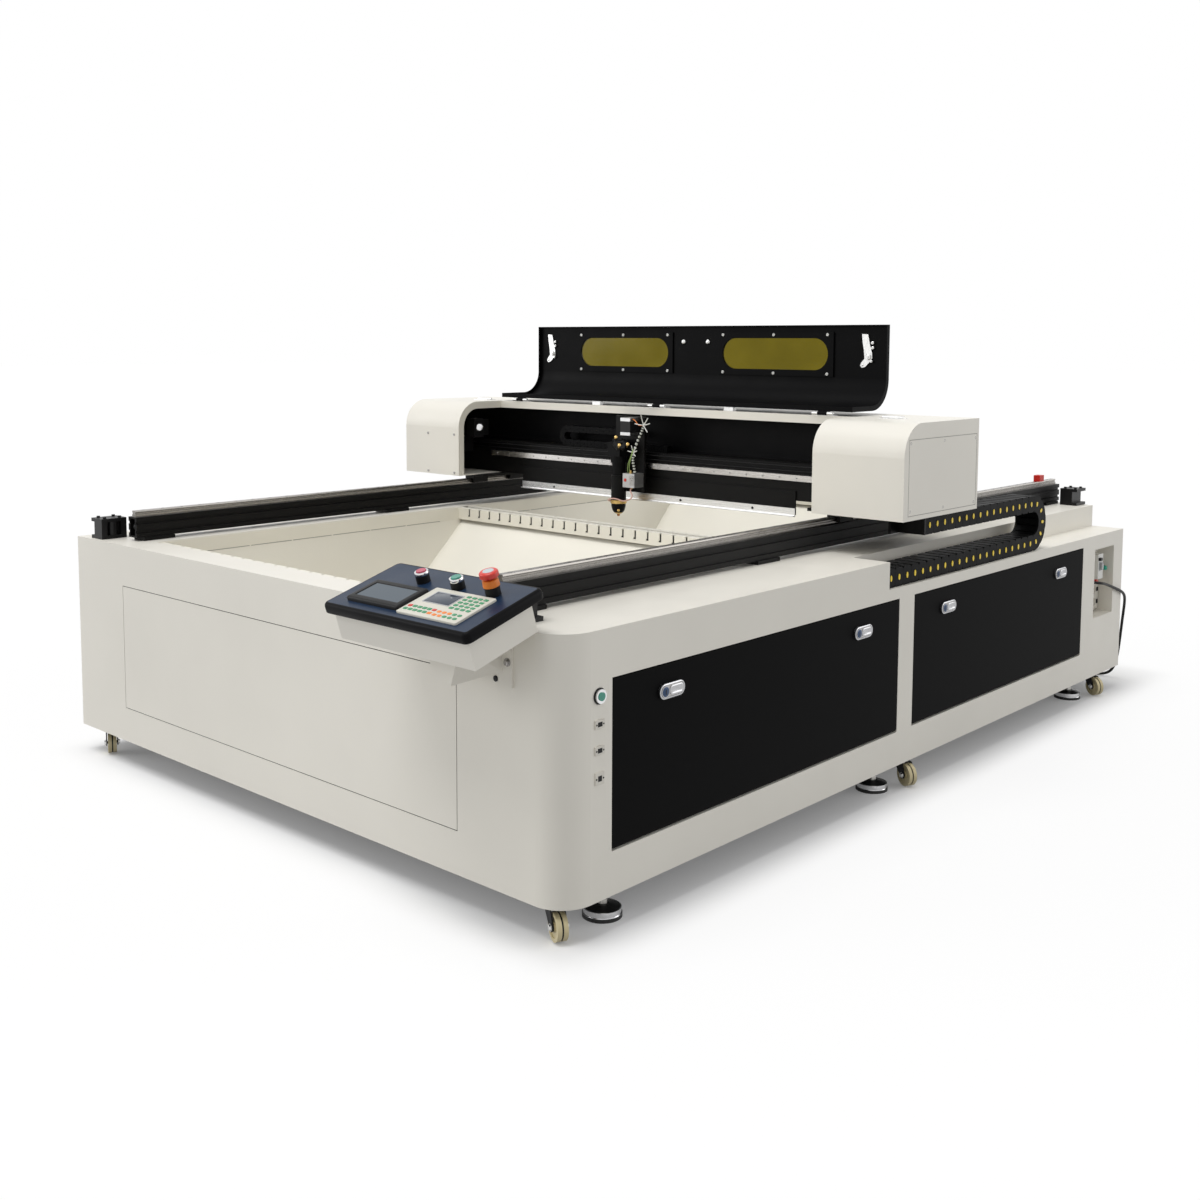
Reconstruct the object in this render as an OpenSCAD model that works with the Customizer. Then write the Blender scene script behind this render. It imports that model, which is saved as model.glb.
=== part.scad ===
/* [Cabinet] */
// Width of the cabinet, left wall to right wall
cabinet_w = 2016; // [1960:1:2080]
// Length of the cabinet, front wall to rear wall
cabinet_l = 2900; // [2860:1:2960]
// Height of the deck above the floor
deck_h = 651; // [640:1:670]
// Height of the skirt's lower edge above the floor
skirt_h = 78; // [76:1:82]
// Thickness of the cabinet's sheet
sheet_t = 3; // [2:0.5:4]
// Radius of the rounded front right corner
corner_r = 80; // [70:1:85]
// Width of the ledge that carries the drag chain
ledge_w = 114; // [108:1:120]
// Drop from the deck to the ledge
ledge_drop = 75; // [70:1:80]
// Start of the ledge, from the front wall
ledge_start = 1261; // [1240:1:1264]
// Diameter of the exhaust collars on the rear wall
collar_d = 150; // [120:1:160]
// Length of the exhaust collars
collar_len = 60; // [40:1:80]

/* [Panels] */
// Height of the lower edge of the side doors
door_z = 174; // [165:1:185]
// Height of the side doors
door_h = 371; // [350:1:375]
// Thickness of a side door
door_t = 18; // [14:1:20]
// Start of the front door, from the front wall
front_door_y = 145; // [140:1:160]
// Length of the front door
front_door_l = 1172; // [1150:1:1180]
// Start of the rear door, from the front wall
rear_door_y = 1398; // [1390:1:1410]
// Distance of the rear door's end from the rear wall
rear_door_end = 349; // [340:1:370]
// Distance of the access panel from the left wall
access_left = 262; // [250:1:280]
// Distance of the access panel from the right wall
access_right = 319; // [300:1:330]
// Height of the access panel
access_h = 358; // [330:1:370]
// Gap round a door or panel
panel_gap = 2; // [1:0.5:3]

/* [Bed] */
// Middle of the bed, from the middle of the cabinet
bed_x = -25; // [-30:1:-20]
// Width of the deck beside the bed opening, mean of both sides
bed_margin = 305; // [298:1:313]
// Front edge of the bed opening, from the front wall
bed_y = 100; // [95:1:110]
// Distance of the bed opening's rear edge from the rear wall
bed_rear = 400; // [380:1:420]
// Distance between two slots of a slat comb
slot_pitch = 51.4; // [45:0.1:55]
// Width of a slot
slot_w = 7; // [5:0.5:8]
// Depth of a slot
slot_d = 28; // [22:1:30]
// Height of a slat comb
comb_h = 40; // [34:1:44]
// Depth of a debris hopper below its neck
hopper_drop = 380; // [360:1:400]

/* [Rails] */
// Distance of a beam's middle from the bed opening
rail_out = 72; // [69:1:75]
// Width of a beam
beam_w = 46; // [40:1:50]
// Height of a beam
beam_h = 60; // [56:1:64]
// Height of the pads under a beam
pad_h = 10; // [8:1:12]
// Width of a guide rail
rail_w = 20; // [18:1:23]
// Height of a guide rail
rail_h = 18; // [16:1:20]

/* [Gantry] */
// Overhang of the gantry beyond each side wall
gantry_over = 23; // [17:1:32]
// Depth of the gantry cover
gantry_d = 425; // [420:1:440]
// Height of the gantry cover
gantry_h = 263; // [258:1:275]
// Front face of the gantry at rest, from the front wall
gantry_y = 1283; // [1270:1:1290]
// Radius of the cover's front top edge
gantry_r = 92; // [80:1:100]
// Width of the gantry's two end boxes, beside the lid
end_w = 289; // [286:1:296]
// Depth of the lid's top
lid_d = 207; // [200:1:212]
// Gap between the lid and the opening
lid_gap = 3; // [2:0.5:4]
// Height of the hinge pins above the cover's top
hinge_rise = 6.5; // [6:0.1:7]
// Length of a lid window
window_l = 410; // [380:1:420]
// Height of a lid window
window_h = 100; // [90:1:105]
// Distance between the middles of the two windows
window_span = 644; // [600:1:660]

/* [Head] */
// Middle of the laser head at rest, from the middle of the cabinet
head_x = -90; // [-100:1:-80]
// Outer diameter of the lens tube
lens_d = 50; // [47:1:54]
// Gap between the nozzle's tip and the deck
tip_gap = 12; // [11:1:16]

/* [Drag chain] */
// Width of the long chain
chain_w = 80; // [76:1:84]
// Height of a link of the long chain
chain_h = 52; // [48:1:54]
// Distance between the two runs of the long chain
chain_rise = 126; // [122:1:130]
// Middle of the bend at rest, from the front wall
chain_bend_y = 2172; // [2150:1:2190]
// Links in the lower run
lower_links = 21; // [18:1:24]
// Links in the upper run
upper_links = 16; // [14:1:18]

/* [Console] */
// Distance of the console's left edge from the right wall
console_side = 502; // [490:1:520]
// Width of the console
console_w = 452; // [445:1:470]
// Depth of the console along its slope
console_d = 220; // [215:1:225]
// Slope of the console
console_tilt = 16.6; // [15:0.1:18]
// Height of the console's front edge above the deck
console_rise = 34; // [30:1:44]
// Reach of the console in front of the front wall
console_reach = 216; // [214:1:225]
// Thickness of the console's top
console_t = 24; // [20:1:26]
// Depth of the tub under the top
tub_h = 64; // [58:1:66]

/* [Running gear] */
// Diameter of a caster wheel
wheel_d = 62; // [58:1:62]
// Width of a caster wheel
wheel_w = 24; // [20:1:26]
// Offset of a caster wheel from its swivel
trail = 28; // [24:1:30]
// Turn of the casters about their king pins at rest
caster_turn = -26; // [-40:1:0]
// Diameter of a levelling foot
foot_d = 88; // [84:1:90]

/* [Mains lead] */
// Diameter of the mains lead
lead_d = 10; // [8:1:12]

/* [Hidden] */
$fn = 48;

// Colours
cream = "#e9e5da";
black = "#1b1b1c";
steel = "#c9cbcc";
navy = "#262c3d";
grey = "#8a8d90";

// Running and seating clearances
seat = 0.3;
run = 0.05;
eps = 1;

// Places in the cabinet
half_w = cabinet_w / 2;
front_y = (console_reach - collar_len - cabinet_l) / 2;
ledge_h = deck_h - ledge_drop;
step_x = half_w - ledge_w;
wall_in = half_w - sheet_t;
rear_door_l = cabinet_l - rear_door_end - rear_door_y;
access_x = access_left - half_w;
access_w = cabinet_w - access_left - access_right;
deck_under = deck_h - sheet_t;

// Frame of square tube inside the cabinet
tube = 50;
plate_t = 6;
frame_z = skirt_h + plate_t;
frame_x = half_w - 38;
frame_y0 = 30;
frame_y1 = cabinet_l - 20;

// Doors stand in jambs and turn out about pivots in their rounded lower edge
doors = [[front_door_y, front_door_l], [rear_door_y, rear_door_l]];
jamb_w = 15;
pivot_r = 4;
pivot_in = 2;
lock_inset = [190, 192];
lock_z = door_z + door_h - 61;
lock_l = 86;
lock_h = 34;
lock_out = 6;
lock_disc_r = 13;
lock_barrel = [9, 30];

// Mains recess in the right wall
mains_y = cabinet_l - 250;
mains_l = 172;
mains_z = 284;
mains_h = 244;
mains_d = 60;

// Bed
bed_w = cabinet_w - 2 * bed_margin;
bed_l = cabinet_l - bed_y - bed_rear;
bed_x0 = bed_x - bed_w / 2;
bed_x1 = bed_x + bed_w / 2;
hopper_t = 3;
hopper_gap = 24;
hopper_l = (bed_l - hopper_gap) / 2;
neck_h = comb_h + 2;
outlet_l = 160;
outlet_side = 113;
comb_t = 2.5;
comb_d = 20;
slot_foot = [4, 5];
slot_n = floor((bed_w - 2 * hopper_t - slot_pitch / 2) / slot_pitch);

// Rails
rail_xs = [bed_x0 - rail_out, bed_x1 + rail_out];
beam_y0 = 65;
beam_y1 = cabinet_l - 15;
beam_z = deck_h + pad_h;
beam_top = beam_z + beam_h;
rail_top = beam_top + rail_h;
block_xs = [rail_xs[0] - 115, rail_xs[1] + 80];
block_l = 78;
block_h = 60;

// Gantry
gantry_w = cabinet_w + 2 * gantry_over;
opening_w = gantry_w - 2 * end_w;
carriage_t = 9;
carriage_gap = 10;
carriage_z = rail_top + carriage_gap;
gantry_z = carriage_z + carriage_t;
gantry_top = gantry_z + gantry_h;
carriage_y0 = gantry_y + 94;
carriage_l = 274;
xbeam_y = gantry_y + 195;
xbeam_d = 80;
xbeam_z = gantry_z + sheet_t;
xbeam_h = 112;
xrail_z = xbeam_z + 60;
liner_y = xbeam_y + xbeam_d + 4;
hinge_y = gantry_y + lid_d;
hinge_z = gantry_top + hinge_rise;
lid_w = opening_w - 2 * lid_gap;
hinge_side = 102;
hinge_xs = [hinge_side - opening_w / 2, 0, opening_w / 2 - hinge_side];
apron_side = 118;
apron_xs = [bed_x0 + apron_side, bed_x1 - apron_side];
tube_r = 40;
tube_y = liner_y + 73;
tube_z = gantry_z + 142;

// Head
head_y = gantry_y + 122;
plate_y = head_y + 33;
xrail_d = 18;
xrail_w = 20;
tip_z = deck_h + tip_gap;
body_r = lens_d / 2 - 3;

// Drag chains
chain_x1 = half_w - 10;
chain_x0 = chain_x1 - chain_w;
lower_z = ledge_h + chain_h / 2;
upper_z = lower_z + chain_rise;
chain_y0 = ledge_start + sheet_t;
chain_y1 = gantry_y + 187;
bend_r = chain_rise / 2;
bend_links = 5;
x_chain_h = 22;
x_chain_w = 30;
x_chain_rise = 48;
x_chain_pitch = 32;
x_chain_z = xbeam_z + xbeam_h + x_chain_h / 2;
x_chain_y = xbeam_y + 25;
x_bend_x = head_x - 330;

// Console
console_x = half_w - console_side;
console_z = deck_h + console_rise;
console_in = 16;
tub_back = 28;
screen = [50, 30, 167, 90];
pad = [220, 23, 180, 115];
button_v = 157;
button_us = [155, 265, 370];
button_r = 15;
estop_r = 20;
collar_h = 24;

// Side button and sockets near the front right corner
port_y = 105;
port_drops = [137, 196, 251, 310];
port_zs = [for (d = port_drops) deck_h - d];

// Casters and feet, right side; the left side mirrors their places
mid_y = cabinet_l / 2;
caster_side = 36;
foot_side = 70;
caster_places = [[half_w - caster_side - 40, 50], [half_w - caster_side, mid_y - 38],
    [half_w - caster_side, cabinet_l - 170]];
foot_places = [[half_w - foot_side, 194], [half_w - foot_side, mid_y - 140],
    [half_w - foot_side, cabinet_l - 275]];
stud_r = 8;
swivel_h = 12;
axle_r = 4;

// Mains lead: points from the gland in the recess to the coil on the floor, and from the coil to the plug
lead_r = lead_d / 2;
gland_y = mains_y + 22;
gland_z = mains_z + 124;
gland_l = 22;
// Each point is taken from the cabinet's rear right corner on the floor
corner = [half_w, cabinet_l, 0];
lead_steps = [[-36, -228, 408], [-29, -228, 408], [-22, -228, 408], [-7, -219, 407.5], [4, -204, 405],
    [8, -186, 402], [8, -150, 393], [8, -110, 381], [8, -70, 369], [8, -30, 356], [7, 0, 344],
    [3, 28, 327], [-4, 50, 302], [-12, 66, 270], [-20, 78, 230], [-27, 87, 185],
    [-34, 94, 135], [-42, 100, 88], [-53, 105, 50], [-71, 109, 23], [-98, 112, 9],
    [-133, 116, lead_r], [-188, 122, lead_r], [-248, 128, lead_r], [-308, 131, lead_r], [-348, 131, lead_r]];
lead_points = [for (p = lead_steps) corner + p];
coil_place = [half_w - 368, cabinet_l + 181];
coil_turn_r = 55;
coil_h = 42;
plug_steps = [[10, 60, lead_r], [32, 60, 7], [54, 60, 12], [66, 60, 15], [74, 60, 15], [82, 60, 15]];
plug_points = [for (p = plug_steps) [coil_place[0], coil_place[1], 0] + p];

module machine() translate([0, front_y, 0]) children();

module box(a, b) translate(a) cube(b - a);

module along_x(x0, x1) translate([x0, 0, 0]) rotate([90, 0, 90]) linear_extrude(x1 - x0) children();

module along_y(y0, y1) translate([0, y1, 0]) rotate([90, 0, 0]) linear_extrude(y1 - y0) children();

module both_sides() {
    children();
    mirror([1, 0, 0]) children();
}

module stadium(l, h) {
    square([l - h, h], center = true);
    for (s = [-1, 1]) translate([s * (l - h) / 2, 0]) circle(d = h);
}

// Plan of the cabinet, with its one rounded corner
module cabinet_plan(inset) {
    r = corner_r - inset;
    x1 = half_w - inset;
    y1 = cabinet_l - inset;
    translate([-x1, inset]) square([x1 + half_w - corner_r, y1 - inset]);
    translate([0, corner_r]) square([x1, y1 - corner_r]);
    translate([half_w - corner_r, corner_r]) circle(r, $fn = 96);
}

// The corner that is left out of the cabinet above the ledge
module chain_step(grow)
    box([step_x - grow, ledge_start - grow, ledge_h - grow], [half_w + eps, cabinet_l + eps, deck_h + eps]);

module door_jamb(d) {
    x1 = wall_in;
    x0 = half_w - door_t - seat - sheet_t;
    o = sheet_t;
    difference() {
        box([x0, d[0] - o, door_z - o], [x1, d[0] + d[1] + o, door_z + door_h + o]);
        box([x0 + sheet_t, d[0], door_z], [x1 + eps, d[0] + d[1], door_z + door_h]);
        box([x0 - eps, d[0] + jamb_w, door_z + jamb_w], [x1, d[0] + d[1] - jamb_w, door_z + door_h - jamb_w]);
        along_y(d[0] - o - eps, d[0] + d[1] + o + eps)
            translate([half_w - door_t / 2, door_z + panel_gap + door_t / 2]) circle(pivot_r + run);
    }
}

access_z = door_z + 2;

module access_rim() {
    rim = 16;
    y0 = sheet_t;
    y1 = sheet_t + 2;
    x1 = access_x + access_w;
    z1 = access_z + access_h;
    difference() {
        box([access_x - rim, y0, access_z - rim], [x1 + rim, y1, z1 + rim]);
        box([access_x + rim, y0 - eps, access_z + rim], [x1 - rim, y1 + eps, z1 - rim]);
    }
}

collar_xs = [bed_x - 380, bed_x + 380];
collar_z = 330;

module cabinet_shell() color(cream) machine() {
    difference() {
        union() {
            difference() {
                translate([0, 0, skirt_h]) linear_extrude(deck_h - skirt_h) cabinet_plan(0);
                difference() {
                    translate([0, 0, skirt_h - eps])
                        linear_extrude(deck_under - skirt_h + eps) cabinet_plan(sheet_t);
                    chain_step(sheet_t);
                }
                chain_step(0);
            }
            for (x = collar_xs) translate([x, cabinet_l - sheet_t, collar_z]) rotate([-90, 0, 0])
                cylinder(d = collar_d, h = collar_len + sheet_t, $fn = 96);
        }
        for (x = collar_xs) translate([x, cabinet_l - 2 * sheet_t, collar_z]) rotate([-90, 0, 0])
            cylinder(d = collar_d - 4, h = collar_len + 3 * sheet_t, $fn = 96);
        box([bed_x0, bed_y, deck_under - eps], [bed_x1, bed_y + bed_l, deck_h + eps]);
        for (d = doors)
            box([wall_in - eps, d[0], door_z], [half_w + eps, d[0] + d[1], door_z + door_h]);
        box([access_x, -eps, access_z], [access_x + access_w, sheet_t + eps, access_z + access_h]);
        box([wall_in - eps, mains_y, mains_z], [half_w + eps, mains_y + mains_l, mains_z + mains_h]);
        for (z = port_zs) translate([half_w - 2 * sheet_t, port_y, z]) rotate([0, 90, 0])
            cylinder(r = 11, h = 3 * sheet_t);
    }
    for (d = doors) door_jamb(d);
    access_rim();
}

module caster_plates() both_sides() for (p = caster_places) translate([p[0], p[1], skirt_h]) difference() {
    translate([-32, -32, 0]) cube([64, 64, plate_t]);
    translate([0, 0, -eps]) cylinder(r = 6, h = plate_t + 2 * eps);
}

module foot_bosses() both_sides() for (p = foot_places) translate([p[0], p[1], frame_z - 18])
    cylinder(r = 16, h = 18 + eps);

module foot_bores() both_sides() for (p = foot_places) translate([p[0], p[1], frame_z - 19])
    cylinder(r = stud_r + 0.2, h = 46);

module base_frame() color(black) machine() {
    z1 = frame_z + tube;
    x0 = frame_x - tube;
    cross_n = 5;
    cross_ys = [for (i = [0 : cross_n - 1]) frame_y0 + i * (frame_y1 - tube - frame_y0) / (cross_n - 1)];
    upright_ys = [frame_y0, (front_door_y + front_door_l + rear_door_y - tube) / 2, frame_y1 - tube];
    difference() {
        union() {
            both_sides() box([x0, frame_y0, frame_z], [frame_x, frame_y1, z1]);
            for (y = cross_ys) box([-x0, y, frame_z], [x0, y + tube, z1]);
            for (y = upright_ys) {
                box([-frame_x, y, z1], [-x0, y + tube, deck_under]);
                box([x0, y, z1], [frame_x, y + tube, y < ledge_start ? deck_under : ledge_h - sheet_t]);
            }
            foot_bosses();
        }
        foot_bores();
        caster_bores();
    }
    caster_plates();
}

module caster_bores() both_sides() for (p = caster_places) translate([p[0], p[1], frame_z - eps])
    cylinder(r = 7, h = eps + 1);

module front_panel() color(cream) machine()
    box([access_x + panel_gap, 0, access_z + panel_gap],
        [access_x + access_w - panel_gap, sheet_t, access_z + access_h - panel_gap]);

module hopper_form(inset, below) {
    x0 = bed_x0 + inset;
    w = bed_w - 2 * inset;
    l = hopper_l - 2 * inset;
    outlet = [bed_w - 2 * outlet_side - 2 * inset, outlet_l - 2 * inset];
    z_neck = deck_under - neck_h;
    translate([x0, inset, z_neck]) cube([w, l, neck_h + (inset > 0 ? eps : 0)]);
    hull() {
        translate([x0, inset, z_neck]) cube([w, l, 0.01]);
        translate([bed_x - outlet[0] / 2, (hopper_l - outlet[1]) / 2, z_neck - hopper_drop + below])
            cube([outlet[0], outlet[1], 0.01]);
    }
}

module hoppers() color(cream) machine()
    for (y = [bed_y, bed_y + hopper_l + hopper_gap]) translate([0, y, 0]) difference() {
        hopper_form(0, 0);
        hopper_form(hopper_t, hopper_t);
    }

// One comb: a folded channel, its face slotted for the slats
module slat_comb() {
    w = bed_w - 2 * hopper_t;
    translate([bed_x - w / 2, 0, deck_under - comb_h]) {
        rotate([90, 0, 0]) translate([0, 0, -comb_d]) linear_extrude(comb_t) difference() {
            square([w, comb_h]);
            for (i = [0 : slot_n - 1])
                translate([w / 2 + (i - (slot_n - 1) / 2) * slot_pitch - slot_w / 2, comb_h - slot_d]) {
                    square([slot_w, slot_d + eps]);
                    translate([-slot_foot[0], 0]) square([slot_foot[0] + eps, slot_foot[1]]);
                }
        }
        translate([0, 0, comb_h - comb_t]) linear_extrude(comb_t) difference() {
            square([w, comb_d - comb_t]);
            for (i = [0 : slot_n - 1])
                translate([w / 2 + (i - (slot_n - 1) / 2) * slot_pitch - slot_w / 2, comb_d / 2])
                    square([slot_w, comb_d]);
        }
        cube([w, comb_t, comb_h]);
    }
}

module slat_combs() color(cream) machine() {
    y_mid = bed_y + hopper_l;
    translate([0, bed_y + hopper_t, 0]) slat_comb();
    translate([0, y_mid - hopper_t, 0]) mirror([0, 1, 0]) slat_comb();
    translate([0, y_mid + hopper_gap + hopper_t, 0]) slat_comb();
    translate([0, bed_y + bed_l - hopper_t, 0]) mirror([0, 1, 0]) slat_comb();
}

// Section of a beam: a hollow profile with a groove along each side
module beam_section() {
    wall = 5;
    groove = 8;
    difference() {
        translate([-beam_w / 2, 0]) square([beam_w, beam_h]);
        translate([-beam_w / 2 + 2 * wall, wall]) square([beam_w - 4 * wall, beam_h - 2 * wall]);
        for (s = [-1, 1], z = [beam_h * 0.28, beam_h * 0.72])
            translate([s * beam_w / 2, z]) square([2 * wall, groove], center = true);
    }
}

module rail_beams() color(black) machine() for (x = rail_xs) translate([x, 0, 0]) {
    pad_l = 100;
    pad_over = 6;
    pad_n = 4;
    translate([0, 0, beam_z]) along_y(beam_y0, beam_y1) beam_section();
    for (i = [0 : pad_n - 1])
        translate([-beam_w / 2 - pad_over,
            beam_y0 + 20 + i * (beam_y1 - beam_y0 - 40 - pad_l) / (pad_n - 1), deck_h])
            cube([beam_w + 2 * pad_over, pad_l, pad_h]);
}

// Section of a guide rail: a waist between its foot and its head
module rail_section(w, h) {
    waist = w * 0.14;
    polygon([[-w / 2, 0], [w / 2, 0], [w / 2, h * 0.35], [w / 2 - waist, h * 0.5], [w / 2 - waist, h * 0.65],
        [w / 2, h * 0.8], [w / 2 - 1, h], [1 - w / 2, h], [-w / 2, h * 0.8], [waist - w / 2, h * 0.65],
        [waist - w / 2, h * 0.5], [-w / 2, h * 0.35]]);
}

module guide_rails() color(steel) machine() for (x = rail_xs)
    translate([x, 0, beam_top]) along_y(beam_y0 + 5, beam_y1 - 5) rail_section(rail_w, rail_h);

// A belt block: two flanges and a web, with the pulley between them
module belt_block() {
    w = 62;
    flange = 10;
    difference() {
        translate([-w / 2, 0, 0]) cube([w, block_l, block_h]);
        translate([-w / 2 - eps, -eps, flange]) cube([w * 0.3, block_l + 2 * eps, block_h - 2 * flange]);
        translate([w / 2 - 14, block_l / 2 - 22, flange]) cube([w, 44, block_h - 2 * flange]);
    }
    translate([w / 2 - 14, block_l / 2, flange]) cylinder(r = 13.5, h = block_h - 2 * flange);
    for (u = [-1, 1], v = [0.2, 0.8])
        translate([u * w * 0.3, v * block_l, block_h]) cylinder(r = 5, h = 5);
}

module y_belt() {
    r = 13;
    belt_t = 2;
    belt_w = 14;
    translate([0, 0, beam_z + beam_h / 2]) rotate([90, 0, 90])
        translate([(beam_y0 + beam_y1) / 2, 0, -belt_w / 2]) linear_extrude(belt_w) difference() {
            stadium(beam_y1 - beam_y0 - 12, 2 * r);
            stadium(beam_y1 - beam_y0 - 12 - 2 * belt_t, 2 * r - 2 * belt_t);
        }
    for (y = [beam_y0 + 6 + r, beam_y1 - 6 - r]) translate([-beam_w / 2 + 10, y, beam_z + beam_h / 2])
        rotate([0, 90, 0]) cylinder(r = r - belt_t, h = beam_w - 20);
}

module belt_blocks() color(black) machine() {
    stop = [24, 34, 22];
    for (i = [0, 1]) {
        s = i == 0 ? 1 : -1;
        translate([block_xs[i], 13, deck_h]) scale([s, 1, 1]) belt_block();
        translate([block_xs[i], cabinet_l - block_l + 12, deck_h]) scale([s, 1, 1]) belt_block();
        translate([rail_xs[i], 0, 0]) y_belt();
    }
    translate([rail_xs[1] - stop[0] / 2, cabinet_l - 160, rail_top]) cube(stop);
}

module on_console() machine() translate([console_x, -console_reach, console_z])
    rotate([console_tilt, 0, 0]) children();

module console_plate() color(navy) on_console() {
    r = 14;
    difference() {
        translate([0, 0, -console_t]) linear_extrude(console_t) plate_outline(0, r);
        translate([0, 0, -console_t - eps]) linear_extrude(console_t - 4 + eps) plate_outline(5, r - 5);
        for (u = button_us) translate([u, button_v, -console_t]) cylinder(r = 11, h = console_t + eps);
    }
}

module plate_outline(inset, r) {
    w = console_w - 2 * inset;
    d = console_d - 2 * inset;
    translate([inset, inset + r]) square([w, d - 2 * r]);
    translate([inset + r, inset]) square([w - 2 * r, d]);
    for (u = [r, w - r], v = [r, d - r]) translate([inset + u, inset + v]) circle(r);
}

module console_tub() color(cream) on_console() {
    w = console_w - 2 * console_in;
    d = console_d - console_in - tub_back;
    z0 = -console_t - tub_h;
    difference() {
        translate([console_in, console_in, z0]) cube([w, d, tub_h + console_t - 4]);
        translate([console_in + 2, console_in + 2, z0 + 2]) cube([w - 4, d - 4, tub_h + console_t]);
    }
}

// The arm under the tub, flared towards its plate on the front wall
module console_bracket() color(cream) machine() {
    arm_x = console_x + 266;
    arm_front = -112;
    arm_low = deck_h - 113;
    arm_back_low = deck_h - 94;
    plate_x = [console_x + 184, console_x + 360];
    plate_z = [deck_h - 126, deck_h - 23];
    back = 6;
    slope = tan(console_tilt);
    tub_z = console_z - (console_t + tub_h) / cos(console_tilt);
    tub_under = function(y) tub_z + (console_reach + y) * slope - seat;
    difference() {
        hull() {
            translate([arm_x - 26, arm_front, arm_low]) cube([52, 0.01, 1]);
            translate([arm_x - 53, arm_front, tub_under(arm_front) - 1]) cube([106, 0.01, 1]);
            translate([arm_x - 66, -back, arm_back_low]) cube([132, 0.01, 1]);
            translate([arm_x - 66, -back, tub_under(-back) - 1]) cube([132, 0.01, 1]);
        }
        translate([0, 0, 0]) hull() {
            translate([arm_x - 24, arm_front + 2, arm_low + 2]) cube([48, 0.01, 1]);
            translate([arm_x - 51, arm_front + 2, tub_under(arm_front) + 1]) cube([102, 0.01, 1]);
            translate([arm_x - 64, 0, arm_back_low + 2]) cube([128, 0.01, 1]);
            translate([arm_x - 64, 0, tub_under(0) + 1]) cube([128, 0.01, 1]);
        }
    }
    box([plate_x[0], -back, plate_z[0]], [plate_x[1], 0, plate_z[1]]);
}

module touch_screen() color(black) on_console() {
    bezel_h = 10;
    rim = 14;
    difference() {
        translate([screen[0], screen[1], 0]) cube([screen[2], screen[3], bezel_h]);
        translate([screen[0] + rim, screen[1] + rim, bezel_h - 2])
            cube([screen[2] - 2 * rim, screen[3] - 2 * rim, 2 + eps]);
    }
}

module keypad() color(cream) on_console() {
    body_h = 5;
    key = [12, 6, 1.2];
    lcd = [22, 52, 82, 48];
    translate([pad[0], pad[1], 0]) {
        difference() {
            cube([pad[2], pad[3], body_h]);
            translate([lcd[0], lcd[1], body_h - 1]) cube([lcd[2], lcd[3], 1 + eps]);
        }
        for (i = [0 : 2], j = [0 : 4])
            translate([114 + i * 20, 54 + j * 11, body_h]) cube(key);
        for (i = [0 : 7], j = [0 : 2])
            translate([10 + i * 20, 8 + j * 13, body_h]) cube(key);
    }
}

// The fixed collars of the two lamps and of the stop mushroom
module button_housings() color(black) on_console() {
    for (i = [0 : 2]) translate([button_us[i], button_v, 0]) {
        r = i == 2 ? 16 : button_r;
        difference() {
            union() {
                cylinder(r = r, h = i == 2 ? 20 : collar_h);
                if (i == 2) translate([0, 0, 20]) cylinder(r1 = 17, r2 = 16, h = 15);
                translate([0, 0, -console_t - 20]) cylinder(r = 10.7, h = console_t + 20 + eps);
            }
            translate([0, 0, 4]) cylinder(r = i == 2 ? 8.1 : 11.2, h = 60);
        }
    }
}

module estop_button() color("red") on_console() translate([button_us[2], button_v, 0]) {
    translate([0, 0, 10]) cylinder(r = 8.05, h = 32);
    translate([0, 0, 41]) rotate_extrude() {
        square([estop_r, 7]);
        translate([0, 7]) square([estop_r - 5, 5]);
        intersection() {
            translate([estop_r - 5, 7]) circle(5);
            translate([0, 7]) square([estop_r, 5]);
        }
    }
}

module lamp_button(i) on_console() translate([button_us[i], button_v, 0]) {
    translate([0, 0, 8.5]) cylinder(r = 11.15, h = collar_h - 8.5);
    translate([0, 0, collar_h - eps]) cylinder(r1 = 11.15, r2 = 10.4, h = 3 + eps);
}

module stop_button() color("crimson") lamp_button(0);

module start_button() color("seagreen") lamp_button(1);

module at_port(z) machine() translate([half_w, port_y, z]) rotate([0, 90, 0]) children();

module side_ports() color(steel) {
    at_port(port_zs[0]) difference() {
        union() {
            cylinder(r = 15, h = 7);
            translate([0, 0, -40]) cylinder(r = 10.7, h = 41);
        }
        translate([0, 0, -5]) cylinder(r = 9.2, h = 20);
    }
    for (i = [1, 2]) at_port(port_zs[i]) difference() {
        union() {
            translate([-9, -14, 0]) cube([18, 28, 3]);
            translate([0, 0, -20]) cylinder(r = 10.7, h = 21);
        }
        translate([-5, -7, -10]) cube([10, 14, 20]);
    }
    at_port(port_zs[3]) difference() {
        union() {
            translate([-13, -13, 0]) cube([26, 26, 3]);
            translate([0, 0, -20]) cylinder(r = 10.7, h = 21);
        }
        translate([-6, -6, -12]) cube([12, 12, 20]);
    }
}

module side_button() color("seagreen") at_port(port_zs[0]) translate([0, 0, -2])
    cylinder(r = 9.15, h = 11);

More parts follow.
